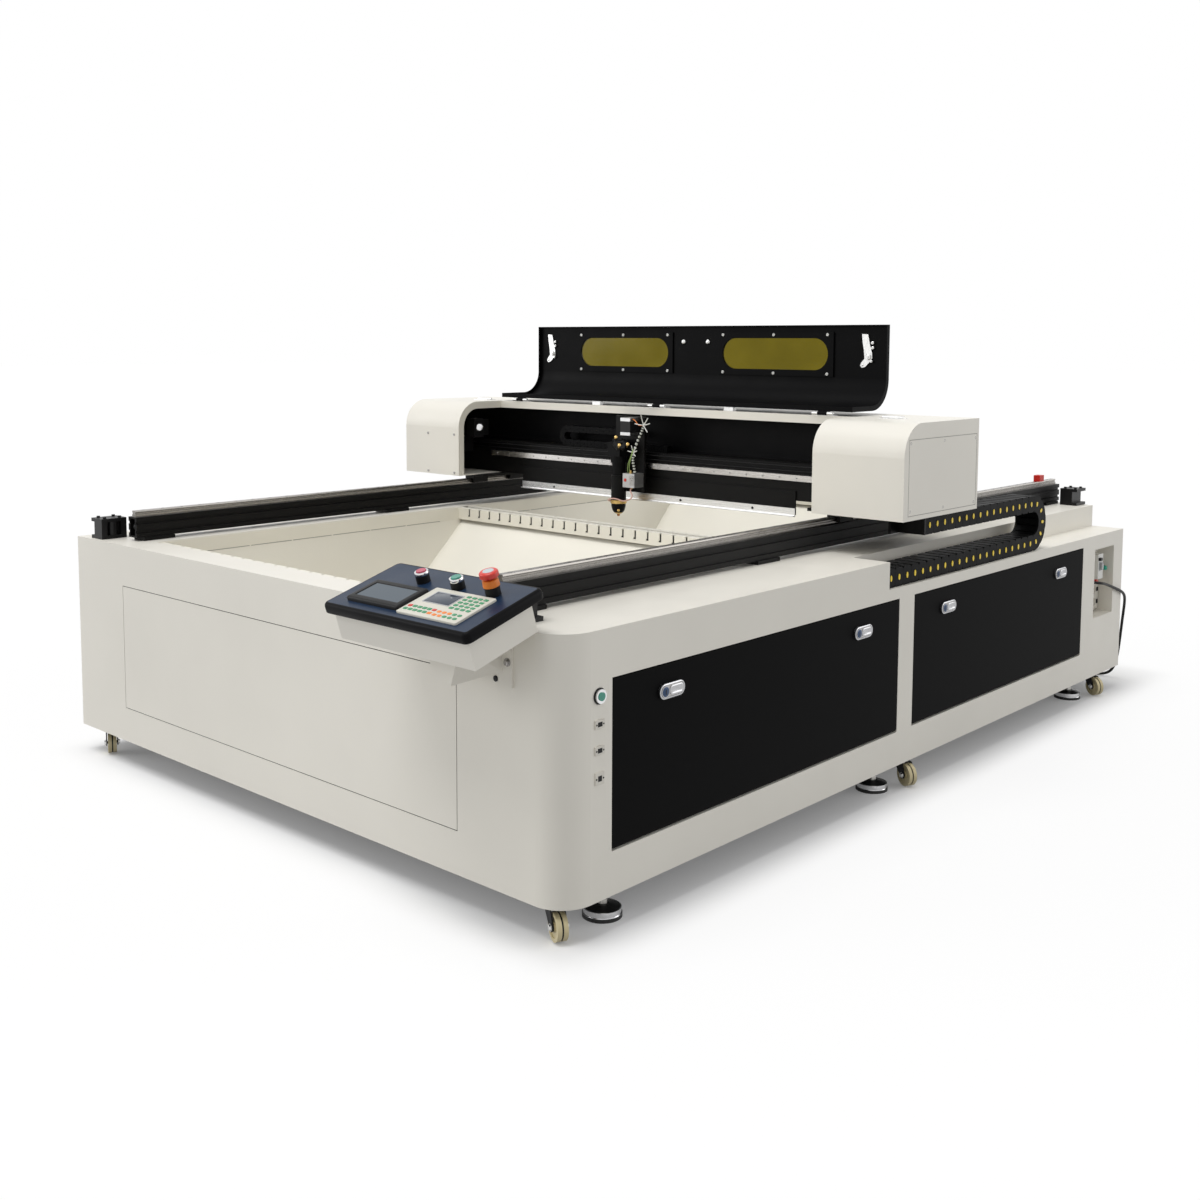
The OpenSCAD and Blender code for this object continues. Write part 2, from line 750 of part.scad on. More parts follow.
module mains_panel() color(cream) machine() {
    t = 2;
    o = seat;
    x0 = half_w - mains_d;
    y1 = mains_y + mains_l;
    z1 = mains_z + mains_h;
    breaker = [42, 44, 88];
    outlet = [9, 74, 92];
    difference() {
        box([x0, mains_y + o, mains_z + o], [half_w, y1 - o, z1 - o]);
        box([x0 + t, mains_y + o + t, mains_z + o + t], [half_w + eps, y1 - o - t, z1 - o - t]);
    }
    translate([x0 + t, mains_y + 72, z1 - 116]) cube(breaker);
    translate([x0 + t + breaker[0], mains_y + 86, z1 - 82]) cube([8, 16, 22]);
    translate([x0 + t, mains_y + 148, z1 - 80]) rotate([0, 90, 0]) cylinder(r = 13, h = 26);
    translate([x0 + t, mains_y + 90, mains_z + 12]) difference() {
        cube(outlet);
        for (z = [24, 68]) translate([outlet[0] - 5, outlet[1] / 2, z]) rotate([0, 90, 0]) cylinder(r = 15, h = 9);
    }
    translate([x0 + t, gland_y, gland_z]) rotate([0, 90, 0]) {
        cylinder(r = 12, h = 6);
        cylinder(r1 = 9, r2 = lead_r + 1, h = gland_l);
    }
}

// Power supply, drives and controller on a tray behind the front door
module electronics() color(grey) machine() {
    tray_w = 280;
    tray = [[frame_x - tray_w, front_door_y + 5, frame_z + tube],
        [frame_x, front_door_y + front_door_l - 27, frame_z + tube + 3]];
    z = tray[1][2];
    x0 = tray[0][0] + 30;
    y0 = tray[0][1];
    fins = 7;
    box(tray[0], tray[1]);
    translate([x0, y0 + 40, z]) cube([170, 300, 210]);
    for (y = [410, 550]) translate([x0 + 10, y0 + y, z]) cube([150, 110, 150]);
    translate([x0, y0 + 730, z]) {
        cube([170, 330, 60]);
        for (i = [0 : fins - 1]) translate([10, 15 + i * 45, 60]) cube([150, 12, 34]);
    }
}

// One link seen from the side: plate, waist and oval pin cap
module link_side(l, h) {
    waist = h * 0.09;
    polygon([[0, waist], [l * 0.16, 0], [l * 0.84, 0], [l, waist], [l, h - waist], [l * 0.84, h], [l * 0.16, h],
        [0, h - waist]]);
}

module pin_cap(h) {
    scale_h = h * 0.30;
    square([scale_h * 0.5, scale_h * 0.6], center = true);
    for (s = [-1, 1]) translate([0, s * scale_h * 0.3]) circle(scale_h * 0.25);
}

// A straight run of links along +Y, its lower left edge on the origin
module chain_run(n, pitch, w, h) {
    side_t = w * 0.1;
    bar = [w - 2 * side_t, pitch * 0.5, h * 0.12];
    cap_t = 1.2;
    for (x = [0, w - side_t]) along_x(x, x + side_t)
        for (i = [0 : n - 1]) translate([i * pitch, 0]) link_side(pitch, h);
    for (i = [0 : n - 1]) translate([side_t, (i + 0.25) * pitch, 0]) {
        cube(bar);
        translate([0, 0, h - bar[2]]) cube(bar);
    }
    along_x(w, w + cap_t) for (i = [0 : n - 1]) translate([(i + 0.5) * pitch, h / 2]) pin_cap(h);
}

// The links round the bend, its axis along X, notched at the outer rim between two links
module chain_bend(n, r, w, h) {
    step = 180 / n;
    side_t = w * 0.1;
    cap_t = 1.2;
    rim = r + h / 2;
    bar = [rim * tan(step / 4) * 2, h * 0.12];
    for (x = [0, w - side_t]) along_x(x, x + side_t) difference() {
        circle(rim);
        circle(r - h / 2);
        translate([-2 * rim, -rim]) square([2 * rim, 2 * rim]);
        for (i = [1 : n - 1]) rotate(i * step - 90) translate([rim, 0])
            rotate(45) square(h * 0.16, center = true);
    }
    along_x(side_t, w - side_t) for (i = [0 : n - 1]) rotate((i + 0.5) * step - 90)
        translate([rim - 2 * bar[1], -bar[0] / 2]) square([bar[1], bar[0]]);
    along_x(w, w + cap_t) for (i = [0 : n - 1]) rotate((i + 0.5) * step - 90) translate([r, 0])
        rotate(90) pin_cap(h);
}

lower_pitch = (chain_bend_y - chain_y0) / lower_links;
upper_pitch = (chain_bend_y - chain_y1) / upper_links;

module drag_chain_lower() color(black) machine() {
    translate([chain_x0, chain_y0, ledge_h]) chain_run(lower_links, lower_pitch, chain_w, chain_h);
    translate([chain_x0, chain_bend_y, (lower_z + upper_z) / 2]) chain_bend(bend_links, bend_r, chain_w, chain_h);
}

module drag_chain_upper() color(black) machine()
    translate([chain_x0, chain_y1, upper_z - chain_h / 2])
        chain_run(upper_links, upper_pitch, chain_w, chain_h);

// A small chain on the gantry's beam: its bend faces left
module x_run(x0, x1, z) {
    n = round((x1 - x0) / x_chain_pitch);
    translate([x0, x_chain_y, z - x_chain_h / 2]) translate([0, x_chain_w, 0]) rotate(-90)
        chain_run(n, (x1 - x0) / n, x_chain_w, x_chain_h);
}

module x_chain_lower() color(black) machine() {
    x_run(x_bend_x, bed_x + 60, x_chain_z);
    translate([x_bend_x, x_chain_y, x_chain_z + x_chain_rise / 2]) rotate(90)
        chain_bend(4, x_chain_rise / 2, x_chain_w, x_chain_h);
}

module x_chain_upper() color(black) machine()
    x_run(x_bend_x, head_x - 20, x_chain_z + x_chain_rise);

// A tube with its rings across a smooth curve through the points
ring_n = 8;
ring_steps = 2;

function curve_at(p, i, u) =
    let (a = p[max(i - 1, 0)], b = p[i], c = p[i + 1], d = p[min(i + 2, len(p) - 1)])
    0.5 * (2 * b + u * (c - a) + u * u * (2 * a - 5 * b + 4 * c - d) + u * u * u * (3 * b - a - 3 * c + d));

function curve(p) = concat(
    [for (i = [0 : len(p) - 2], k = [0 : ring_steps - 1]) curve_at(p, i, k / ring_steps)], [p[len(p) - 1]]);

function unit(v) = v / norm(v);

function heading(c, i) = unit(c[min(i + 1, len(c) - 1)] - c[max(i - 1, 0)]);

function ring(centre, t) =
    let (side = unit(cross(t, [0, 0, 1])), up = cross(side, t))
    [for (k = [0 : ring_n - 1]) let (a = (k + 0.5) * 360 / ring_n)
        centre + lead_r * (cos(a) * side + sin(a) * up)];

module lead_run(points) {
    c = curve(points);
    n = len(c);
    rings = [for (i = [0 : n - 1]) each ring(c[i], heading(c, i))];
    sides = [for (i = [0 : n - 2], k = [0 : ring_n - 1]) let (j = (k + 1) % ring_n)
        [i * ring_n + k, i * ring_n + j, (i + 1) * ring_n + j, (i + 1) * ring_n + k]];
    first = [for (k = [0 : ring_n - 1]) ring_n - 1 - k];
    last = [for (k = [0 : ring_n - 1]) (n - 1) * ring_n + k];
    polyhedron(points = rings, faces = concat([first], sides, [last]));
}

module mains_cord() color(black) machine() {
    lead_run(lead_points);
    lead_run(plug_points);
}

module cord_coil() color(black) machine() translate([coil_place[0], coil_place[1], 0])
    rotate_extrude($fn = 64) translate([coil_turn_r - lead_d, 0]) square([2 * lead_d, coil_h]);

module mains_plug() color(black) machine() {
    end = plug_points[len(plug_points) - 1];
    body = [46, 34, 30];
    pin = [18, 2, 6];
    translate([end[0], end[1], 0]) {
        translate([0, -body[1] / 2, 0]) cube(body);
        for (y = [-9, 7]) translate([body[0], y, 12]) cube(pin);
        translate([body[0], -3, 8]) cube([pin[0], 6, pin[1]]);
    }
}

module levelling_feet() color(black) machine() both_sides() for (p = foot_places) translate([p[0], p[1], 0]) {
    stud_top = frame_z + 26;
    rubber_h = 9;
    band_z = 21;
    dome_z = 27;
    rotate_extrude() {
        square([foot_d / 2, rubber_h]);
        translate([0, rubber_h]) square([foot_d / 2 - 2, band_z - rubber_h]);
        polygon([[0, band_z], [foot_d / 2 - 5, band_z], [stud_r + 8, dome_z], [0, dome_z]]);
    }
    translate([0, 0, 20]) cylinder(r = stud_r, h = stud_top - 20);
    translate([0, 0, 30]) cylinder(r = 13, h = 10, $fn = 6);
}

// Section of the gantry cover, from its front lower corner
module gantry_section(inset) {
    r = gantry_r;
    translate([inset, inset > 0 ? -eps : 0])
        square([gantry_d - 2 * inset, gantry_h - r + (inset > 0 ? eps : 0)]);
    translate([r, inset > 0 ? -eps : 0]) square([gantry_d - r - inset, gantry_h - inset + (inset > 0 ? eps : 0)]);
    translate([r, gantry_h - r]) circle(r - inset, $fn = 96);
}

module at_gantry() machine() translate([0, gantry_y, gantry_z]) children();

module gantry_cover() color(cream) at_gantry() {
    half = gantry_w / 2;
    gap = opening_w / 2;
    fold = 25;
    t = sheet_t;
    difference() {
        along_x(-half, half) gantry_section(0);
        along_x(t - half, half - t) gantry_section(t);
        box([-gap, -eps, -eps], [gap, lid_d, gantry_h + eps]);
    }
    both_sides() {
        along_x(gap, gap + t) intersection() {
            difference() {
                gantry_section(t);
                gantry_section(fold);
            }
            translate([0, t]) square([lid_d, gantry_h]);
        }
        box([gap, t, 0], [half - t, gantry_d - t, t]);
    }
    box([-gap - t, lid_d, gantry_h - fold], [gap + t, lid_d + t, gantry_h - t]);
}

// Carriage plates on their bearing blocks, with the arm that carries the chain's end
module gantry_carriages() color(black) machine() {
    block = [beam_w - 2, 70, carriage_z - beam_top - 3];
    plate_xs = [[rail_xs[0] - 100, rail_xs[0] + 84], [rail_xs[1] - 84, chain_x0 - 12]];
    y1 = carriage_y0 + carriage_l;
    for (i = [0, 1]) {
        box([plate_xs[i][0], carriage_y0, carriage_z], [plate_xs[i][1], y1, gantry_z]);
        for (y = [carriage_y0 + 10, y1 - 10 - block[1]]) translate([rail_xs[i], y, 0]) difference() {
            translate([-block[0] / 2, 0, beam_top + 3]) cube(block);
            translate([0, 0, beam_top]) along_y(-eps, block[1] + eps)
                translate([-rail_w / 2 - seat, 0]) square([rail_w + 2 * seat, rail_h + seat]);
        }
    }
    arm_z = upper_z - chain_h / 2;
    box([chain_x0 - 12, chain_y1 - 46, arm_z], [chain_x0 - 4, chain_y1, gantry_z - 1]);
    box([chain_x0 - 4, chain_y1 - 8, arm_z], [chain_x1, chain_y1, arm_z + chain_h - 4]);
}

module x_beam() color(black) machine() {
    half = gantry_w / 2 - sheet_t - 20;
    wall = 5;
    difference() {
        box([-half, xbeam_y, xbeam_z], [half, xbeam_y + xbeam_d, xbeam_z + xbeam_h]);
        box([-half - eps, xbeam_y + wall, xbeam_z + wall],
            [half + eps, xbeam_y + xbeam_d - wall, xbeam_z + xbeam_h - wall]);
    }
    box([apron_xs[0], xbeam_y - 4, gantry_z - 40], [apron_xs[1], xbeam_y, xbeam_z + 30]);
}

module x_guide_rail() color(steel) machine()
    along_x(rail_xs[0] + 40, rail_xs[1] - 15) translate([xbeam_y, xrail_z + xrail_w / 2]) rotate(90)
        rail_section(xrail_w, xrail_d);

module edge_strip() color(steel) machine() {
    z0 = gantry_z - 45;
    box([apron_xs[0], xbeam_y - 7, z0], [apron_xs[1], xbeam_y - 4, z0 + 25]);
    box([apron_xs[0], xbeam_y - 16, z0], [apron_xs[1], xbeam_y - 7, z0 + 3]);
}

// Black inner wall of the gantry, with the saddles of the laser tube on its back
module gantry_liner() color(black) machine() {
    half = gantry_w / 2 - sheet_t - seat;
    y1 = liner_y + 3;
    saddle_w = 30;
    box([-half, liner_y, xbeam_z], [half, y1, gantry_top - sheet_t - seat]);
    for (x = [-1, 0, 1] * (gantry_w / 2 - 481)) translate([x, 0, 0]) difference() {
        box([-saddle_w / 2, y1, tube_z - tube_r - 14], [saddle_w / 2, tube_y + 26, tube_z]);
        translate([-saddle_w, tube_y, tube_z]) rotate([0, 90, 0]) cylinder(r = tube_r + seat, h = 2 * saddle_w);
    }
}

module laser_tube() color("lightcyan") machine() translate([0, tube_y, tube_z]) rotate([0, 90, 0]) {
    half_l = gantry_w / 2 - 211;
    end_l = 40;
    translate([0, 0, -half_l]) cylinder(r = tube_r, h = 2 * half_l);
    for (z = [-half_l - end_l, half_l]) translate([0, 0, z]) cylinder(r = 16, h = end_l);
}

// Hinge leaves on the cover's top, their pins, and the rests for the open lid
module lid_hinges() color(steel) machine() {
    leaf = [70, 24, 2];
    barrel_r = 5.4;
    for (x = hinge_xs) translate([x, hinge_y, 0]) {
        translate([-leaf[0] / 2, 3, gantry_top]) cube(leaf);
        for (s = [-1, 1]) translate([s * 26, 0, hinge_z]) {
            rotate([0, 90, 0]) cylinder(r = barrel_r, h = 18, center = true);
            translate([-9, 0, -hinge_rise]) cube([18, 5, hinge_rise]);
        }
        translate([-30, 0, hinge_z]) rotate([0, 90, 0]) cylinder(r = 2.5, h = 60);
    }
    for (x = [192 - gantry_w / 2, gantry_w / 2 - 160]) translate([x, hinge_y + 10, gantry_top]) {
        translate([-35, -22, 0]) cube([70, 44, 2]);
        translate([-35, 0, 4]) rotate([0, 90, 0]) cylinder(r = 4, h = 70);
    }
    for (x = [-282, 282]) translate([x - 18, hinge_y + 14, gantry_top])
        cube([36, 16, 2 * hinge_rise - seat]);
}

// Stepper, belt and idler that drive the head along the beam
module x_drive() color(black) machine() {
    belt_z = xbeam_z + xbeam_h - 14;
    belt_y = [xbeam_y - 15, xbeam_y - 5];
    pulley_xs = [141 - gantry_w / 2, gantry_w / 2 - 151];
    r = 8;
    motor = 56;
    translate([0, belt_y[1], belt_z]) rotate([90, 0, 0]) linear_extrude(belt_y[1] - belt_y[0])
        translate([(pulley_xs[0] + pulley_xs[1]) / 2, 0]) difference() {
            stadium(pulley_xs[1] - pulley_xs[0] + 2 * r, 2 * r);
            stadium(pulley_xs[1] - pulley_xs[0] + 2 * r - 4, 2 * r - 4);
        }
    for (x = pulley_xs) {
        translate([x, belt_y[1], belt_z]) rotate([90, 0, 0]) cylinder(r = r - 2, h = belt_y[1] - belt_y[0]);
        translate([x, xbeam_y, belt_z]) rotate([90, 0, 0]) cylinder(r = 3, h = 24);
    }
    translate([pulley_xs[0], 0, belt_z]) {
        box([-motor / 2, belt_y[0] - 60, -motor / 2], [motor / 2, belt_y[0] - 4, motor / 2]);
        box([-motor / 2 - 12, belt_y[0] - 4, -motor / 2], [motor / 2, belt_y[0], motor / 2]);
        box([-motor / 2 - 12, belt_y[0], -motor / 2], [-motor / 2, xbeam_y, 14]);
    }
}

// Lid section in the gantry's own section frame, as it lies when closed
module lid_section(inset) intersection() {
    difference() {
        gantry_section(inset);
        gantry_section(inset + sheet_t);
    }
    translate([0, 6]) square([lid_d - 3, gantry_h]);
}

// Turns what is drawn closed into the open pose, half a turn about the hinge pins
module open_lid() machine() translate([0, hinge_y, hinge_z]) rotate([180, 0, 0])
    translate([0, -lid_d, -gantry_h - hinge_rise]) children();

window_z = 97;

module windows_cut(y0, y1, grow) for (s = [-1, 1])
    translate([s * window_span / 2, y1, window_z]) rotate([90, 0, 0]) linear_extrude(y1 - y0)
        stadium(window_l + 2 * grow, window_h + 2 * grow);

module lid_shell() color(black) open_lid() {
    half = lid_w / 2;
    t = sheet_t;
    fold = 15;
    difference() {
        along_x(-half, half) lid_section(0);
        windows_cut(-eps, t + eps, 0);
    }
    both_sides() along_x(half - t, half) intersection() {
        difference() {
            gantry_section(t);
            gantry_section(fold);
        }
        translate([0, 6]) square([lid_d - 3, gantry_h]);
    }
    box([t - half, lid_d - 6, gantry_h - fold], [half - t, lid_d - 3, gantry_h - t]);
    box([t - half, t, 6], [half - t, fold, 6 + t]);
    for (x = hinge_xs) translate([x, 0, 0]) difference() {
        union() {
            translate([0, lid_d, gantry_h + hinge_rise]) rotate([0, 90, 0])
                cylinder(r = 5.4, h = 33, center = true);
            translate([-16.5, lid_d - 14, gantry_h]) cube([33, 14, 3]);
        }
        translate([0, lid_d, gantry_h + hinge_rise]) rotate([0, 90, 0])
            cylinder(r = 2.5 + run, h = 40, center = true);
    }
}

module lid_windows() color("goldenrod", 0.6) open_lid()
    for (s = [-1, 1]) translate([s * window_span / 2 - window_l / 2 - 10, sheet_t, window_z - window_h / 2 - 10])
        cube([window_l + 20, 3, window_h + 20]);

module window_frames() color(black) open_lid() {
    rim = 20;
    y0 = sheet_t + 3;
    difference() {
        for (s = [-1, 1])
            translate([s * window_span / 2 - window_l / 2 - rim, y0, window_z - window_h / 2 - rim])
                cube([window_l + 2 * rim, 2, window_h + 2 * rim]);
        windows_cut(y0 - eps, y0 + 3, 0);
    }
}

// The pull handle on the lid's face, with its bolt ends, and the stays inside
module lid_fittings() color(steel) open_lid() {
    grip_z = 60;
    grip_x = 52;
    stay_x = lid_w / 2 - 59;
    for (s = [-1, 1]) {
        translate([s * grip_x, 0, grip_z]) rotate([90, 0, 0]) cylinder(r = 6, h = 30);
        translate([s * grip_x, sheet_t, grip_z]) rotate([-90, 0, 0]) cylinder(r = 8, h = 6);
        translate([s * stay_x, sheet_t, 84]) {
            translate([-9, 0, -38]) cube([18, 4, 52]);
            translate([0, 0, 14]) rotate([0, s * 35, 0]) translate([-7, 0, -4]) cube([14, 4, 42]);
            rotate([-90, 0, 0]) cylinder(r = 6, h = 10);
        }
    }
    translate([-grip_x - 14, -32, grip_z - 7]) cube([2 * grip_x + 28, 10, 14]);
}

// Bearing block on the rail and the plate that carries the head
module head_carriage() color(black) machine() translate([head_x, 0, 0]) {
    block_y0 = plate_y + 10;
    z_mid = xrail_z + xrail_w / 2;
    difference() {
        box([-24, block_y0, z_mid - 17], [46, xbeam_y - 3, z_mid + 17]);
        box([-25, xbeam_y - xrail_d - seat, z_mid - xrail_w / 2 - seat],
            [47, xbeam_y, z_mid + xrail_w / 2 + seat]);
    }
    box([-42, plate_y, gantry_z - 12], [82, block_y0, gantry_z + 234]);
    box([-20, block_y0, x_chain_z + x_chain_rise - 8], [0, x_chain_y + x_chain_w, x_chain_z + x_chain_rise + 8]);
}

// Mirror mount on its tube, the clamp that holds it, and the air valve beside it
module head_body() color(black) machine() translate([head_x, head_y, 0]) {
    z0 = tip_z + 87;
    z1 = gantry_z + 160;
    clamp_z = gantry_z + 84;
    difference() {
        union() {
            translate([0, 0, z0]) cylinder(r = body_r, h = z1 - z0);
            translate([0, 0, clamp_z]) cylinder(r = body_r + 5, h = 22);
            translate([-12, 0, clamp_z]) cube([24, plate_y - head_y, 22]);
            translate([-26, -26, z1 - 56]) cube([52, 52, 46]);
        }
        translate([0, 0, z0 - eps]) cylinder(r = body_r - 3, h = z1 - z0 - 20);
    }
    translate([lens_d / 2 + 4, plate_y - head_y - 46, gantry_z + 4]) cube([50, 46, 46]);
}

module lift_motor() color(black) machine() translate([head_x + 14, plate_y - 42, gantry_z + 174])
    cube([42, 42, 57]);

// Lens sleeve over the body's tube, and the nozzle cone under it
module lens_tube() color(black) machine() translate([head_x, head_y, tip_z]) {
    r = lens_d / 2;
    difference() {
        rotate_extrude() {
            polygon([[0, 0], [4, 0], [5, 7], [9, 8], [15, 12], [20, 19], [22.5, 27], [r - 1, 34], [r - 1, 42],
                [r + 2, 43], [r + 2, 54], [r, 55], [r, 136], [0, 136]]);
        }
        translate([0, 0, 54]) cylinder(r = body_r + run, h = 90);
        translate([0, 0, -eps]) cylinder(r = 1.5, h = 56);
    }
}

module side_door(d) machine() {
    g = panel_gap;
    x0 = half_w - door_t;
    wall = 2;
    y0 = d[0] + g;
    y1 = d[0] + d[1] - g;
    z0 = door_z + g;
    z1 = door_z + door_h - g;
    r = door_t / 2;
    difference() {
        union() {
            box([x0, y0, z0 + r], [half_w, y1, z1]);
            along_y(y0, y1) translate([half_w - r, z0 + r]) circle(r);
        }
        box([x0 - eps, y0 + wall, z0 + door_t], [half_w - wall, y1 - wall, z1 - wall]);
    }
    along_y(d[0] - pivot_in, d[0] + d[1] + pivot_in) translate([half_w - r, z0 + r]) circle(pivot_r);
    both = [d[0] + lock_inset[0], d[0] + d[1] - lock_inset[1]];
    for (y = both) translate([half_w, y, lock_z]) {
        rotate([90, 0, 90]) linear_extrude(lock_out) stadium(lock_l, lock_h);
        translate([lock_out - eps, (lock_h - lock_l) / 2, 0]) rotate([0, 90, 0])
            cylinder(r = lock_disc_r, h = 3 + eps);
        translate([-lock_barrel[1], 0, 0]) rotate([0, 90, 0]) cylinder(r = lock_barrel[0], h = lock_barrel[1]);
    }
}

module front_door() color(black) side_door(doors[0]);

module rear_door() color(black) side_door(doors[1]);

// Casters: fork and king pin; all wheels trail the same way
module caster_fork(p) color(black) machine() translate([p[0], p[1], 0]) rotate(caster_turn) {
    top = skirt_h - seat;
    axle_z = wheel_d / 2 + 2;
    cheek_t = 3;
    inner = wheel_w / 2 + 2;
    base_z = top - swivel_h;
    translate([0, 0, base_z]) cylinder(r = 24, h = swivel_h);
    translate([0, 0, top - eps]) cylinder(r = 6 - run, h = plate_t + eps);
    for (s = [-1, 1]) translate([0, s * (inner + cheek_t / 2), 0]) hull() {
        translate([-14, -cheek_t / 2, base_z]) cube([40, cheek_t, 1], center = false);
        translate([trail, 0, axle_z]) rotate([90, 0, 0]) cylinder(r = 10, h = cheek_t, center = true, $fn = 32);
    }
    translate([trail, 0, axle_z]) rotate([90, 0, 0])
        cylinder(r = axle_r, h = 2 * (inner + cheek_t + 3), center = true);
}

module caster_wheel(p) color("#d9d0a8") machine() translate([p[0], p[1], 0])
    rotate(caster_turn) translate([trail, 0, wheel_d / 2 + 2]) rotate([90, 0, 0]) difference() {
        rotate_extrude($fn = 64) difference() {
            translate([0, -wheel_w / 2]) square([wheel_d / 2, wheel_w]);
            translate([wheel_d / 2 - 5, -2]) square([6, 4]);
            for (s = [-1, 1]) translate([wheel_d / 2 - 14, s * wheel_w / 2]) square([12, 5], center = true);
        }
        cylinder(r = axle_r + run, h = 2 * wheel_w, center = true);
    }

function left(p) = [-p[0], p[1]];

cabinet_shell();
base_frame();
front_panel();
hoppers();
slat_combs();
rail_beams();
guide_rails();
belt_blocks();
console_bracket();
console_tub();
console_plate();
touch_screen();
keypad();
button_housings();
side_ports();
mains_panel();
electronics();
drag_chain_lower();
mains_cord();
cord_coil();
mains_plug();
levelling_feet();
gantry_cover();
gantry_carriages();
x_beam();
x_guide_rail();
edge_strip();
gantry_liner();
laser_tube();
lid_hinges();
x_drive();
drag_chain_upper();
x_chain_lower();
lid_shell();
lid_windows();
window_frames();
lid_fittings();
head_carriage();
head_body();
lift_motor();
x_chain_upper();
lens_tube();
front_door();
rear_door();
estop_button();
stop_button();
start_button();
side_button();
caster_fork(left(caster_places[0]));  // caster_front_left
caster_fork(left(caster_places[1]));  // caster_mid_left
caster_fork(left(caster_places[2]));  // caster_rear_left
caster_fork(caster_places[0]);  // caster_front_right
caster_fork(caster_places[1]);  // caster_mid_right
caster_fork(caster_places[2]);  // caster_rear_right
caster_wheel(left(caster_places[0]));  // wheel_front_left
caster_wheel(left(caster_places[1]));  // wheel_mid_left
caster_wheel(left(caster_places[2]));  // wheel_rear_left
caster_wheel(caster_places[0]);  // wheel_front_right
caster_wheel(caster_places[1]);  // wheel_mid_right
caster_wheel(caster_places[2]);  // wheel_rear_right
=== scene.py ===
import math

import bmesh
import bpy
from mathutils import Matrix, Vector


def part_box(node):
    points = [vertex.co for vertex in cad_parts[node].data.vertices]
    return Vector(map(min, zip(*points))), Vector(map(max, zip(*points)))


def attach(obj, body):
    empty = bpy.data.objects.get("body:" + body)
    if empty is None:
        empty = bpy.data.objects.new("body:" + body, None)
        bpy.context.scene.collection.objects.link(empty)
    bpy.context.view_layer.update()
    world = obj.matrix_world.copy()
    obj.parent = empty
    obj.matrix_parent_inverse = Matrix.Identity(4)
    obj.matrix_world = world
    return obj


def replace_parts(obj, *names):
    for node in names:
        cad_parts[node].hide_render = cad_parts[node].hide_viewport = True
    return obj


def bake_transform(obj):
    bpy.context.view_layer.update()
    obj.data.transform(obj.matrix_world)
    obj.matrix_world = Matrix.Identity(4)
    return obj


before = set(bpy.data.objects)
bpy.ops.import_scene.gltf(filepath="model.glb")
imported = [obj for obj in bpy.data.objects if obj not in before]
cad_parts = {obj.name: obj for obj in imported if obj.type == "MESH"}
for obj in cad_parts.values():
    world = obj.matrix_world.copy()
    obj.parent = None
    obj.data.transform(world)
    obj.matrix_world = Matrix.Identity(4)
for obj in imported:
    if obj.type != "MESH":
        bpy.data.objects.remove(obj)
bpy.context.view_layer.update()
scene = bpy.context.scene
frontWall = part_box("cabinet_shell")[0][1]
print("frame loaded, front wall at", round(frontWall, 4))


def at(x, y, z):  # millimetres: x from the middle, y from the front wall, z from the floor
    return Vector((x / 1000, frontWall + y / 1000, z / 1000))


# camera and light
lens = {"focal": 39.895, "place": (2800.4, -1868.9, 1234.1), "turn": 42.252, "dip": 5.115,
        "roll": 0.226, "shift": -0.1154}


def addCamera():
    turn, dip, roll = (math.radians(lens[key]) for key in ("turn", "dip", "roll"))
    forward = Vector((-math.sin(turn) * math.cos(dip), math.cos(turn) * math.cos(dip), -math.sin(dip)))
    level = forward.cross(Vector((0, 0, 1))).normalized()
    above = level.cross(forward)
    right = level * math.cos(roll) + above * math.sin(roll)
    up = above * math.cos(roll) - level * math.sin(roll)
    data = bpy.data.cameras.new("camera")
    data.sensor_width = 36
    data.lens = lens["focal"]
    data.shift_y = lens["shift"]
    data.clip_end = 200
    camera = bpy.data.objects.new("camera", data)
    turned = Matrix((right, up, -forward)).transposed().to_4x4()
    camera.matrix_world = Matrix.Translation(at(*lens["place"])) @ turned
    scene.collection.objects.link(camera)
    scene.camera = camera


studio = {"sky": 0.5, "floor": 0.92, "bounce": 0.4, "floorLift": (0.13, 0.82), "fade": 0.13,
          "floorSize": 60, "speck": 0.01, "middle": (0, 0.208, 0), "stands": (1.008, 1.58, 0),
          "softness": 34,
          "suns": (("keySun", 1.64, (-0.12, -0.26, 0.95)), ("leftFill", 0.76, (-0.72, -0.64, 0.27)),
                   ("rightFill", 0.52, (0.62, 0.73, 0.28)))}


def seenRays(nodes, links):  # rays that show the white background: straight, mirrored or through glass
    path = nodes.new("ShaderNodeLightPath")
    seen = path.outputs["Is Camera Ray"]
    for kind in ("Is Glossy Ray", "Is Transmission Ray"):
        seen = computed(nodes, links, "MAXIMUM", seen, path.outputs[kind])
    return seen


def addStudio():
    scene.view_settings.view_transform = "Standard"
    world = bpy.data.worlds.new("studio")
    scene.world = world
    world.use_nodes = True
    nodes, links = world.node_tree.nodes, world.node_tree.links
    background = nodes["Background"]
    background.inputs["Color"].default_value = (1, 1, 1, 1)
    bright = mapped(nodes, links, seenRays(nodes, links), studio["sky"], 1)
    links.new(bright, background.inputs["Strength"])
    for name, strength, source in studio["suns"]:
        data = bpy.data.lights.new(name, "SUN")
        data.energy = strength
        data.angle = math.radians(studio["softness"])
        lamp = bpy.data.objects.new(name, data)
        lamp.rotation_euler = Vector(source).to_track_quat("Z", "Y").to_euler()
        scene.collection.objects.link(lamp)
    bm = bmesh.new()
    bmesh.ops.create_grid(bm, x_segments=1, y_segments=1, size=studio["floorSize"])
    floor = newPiece("floor", bm, floorFinish())


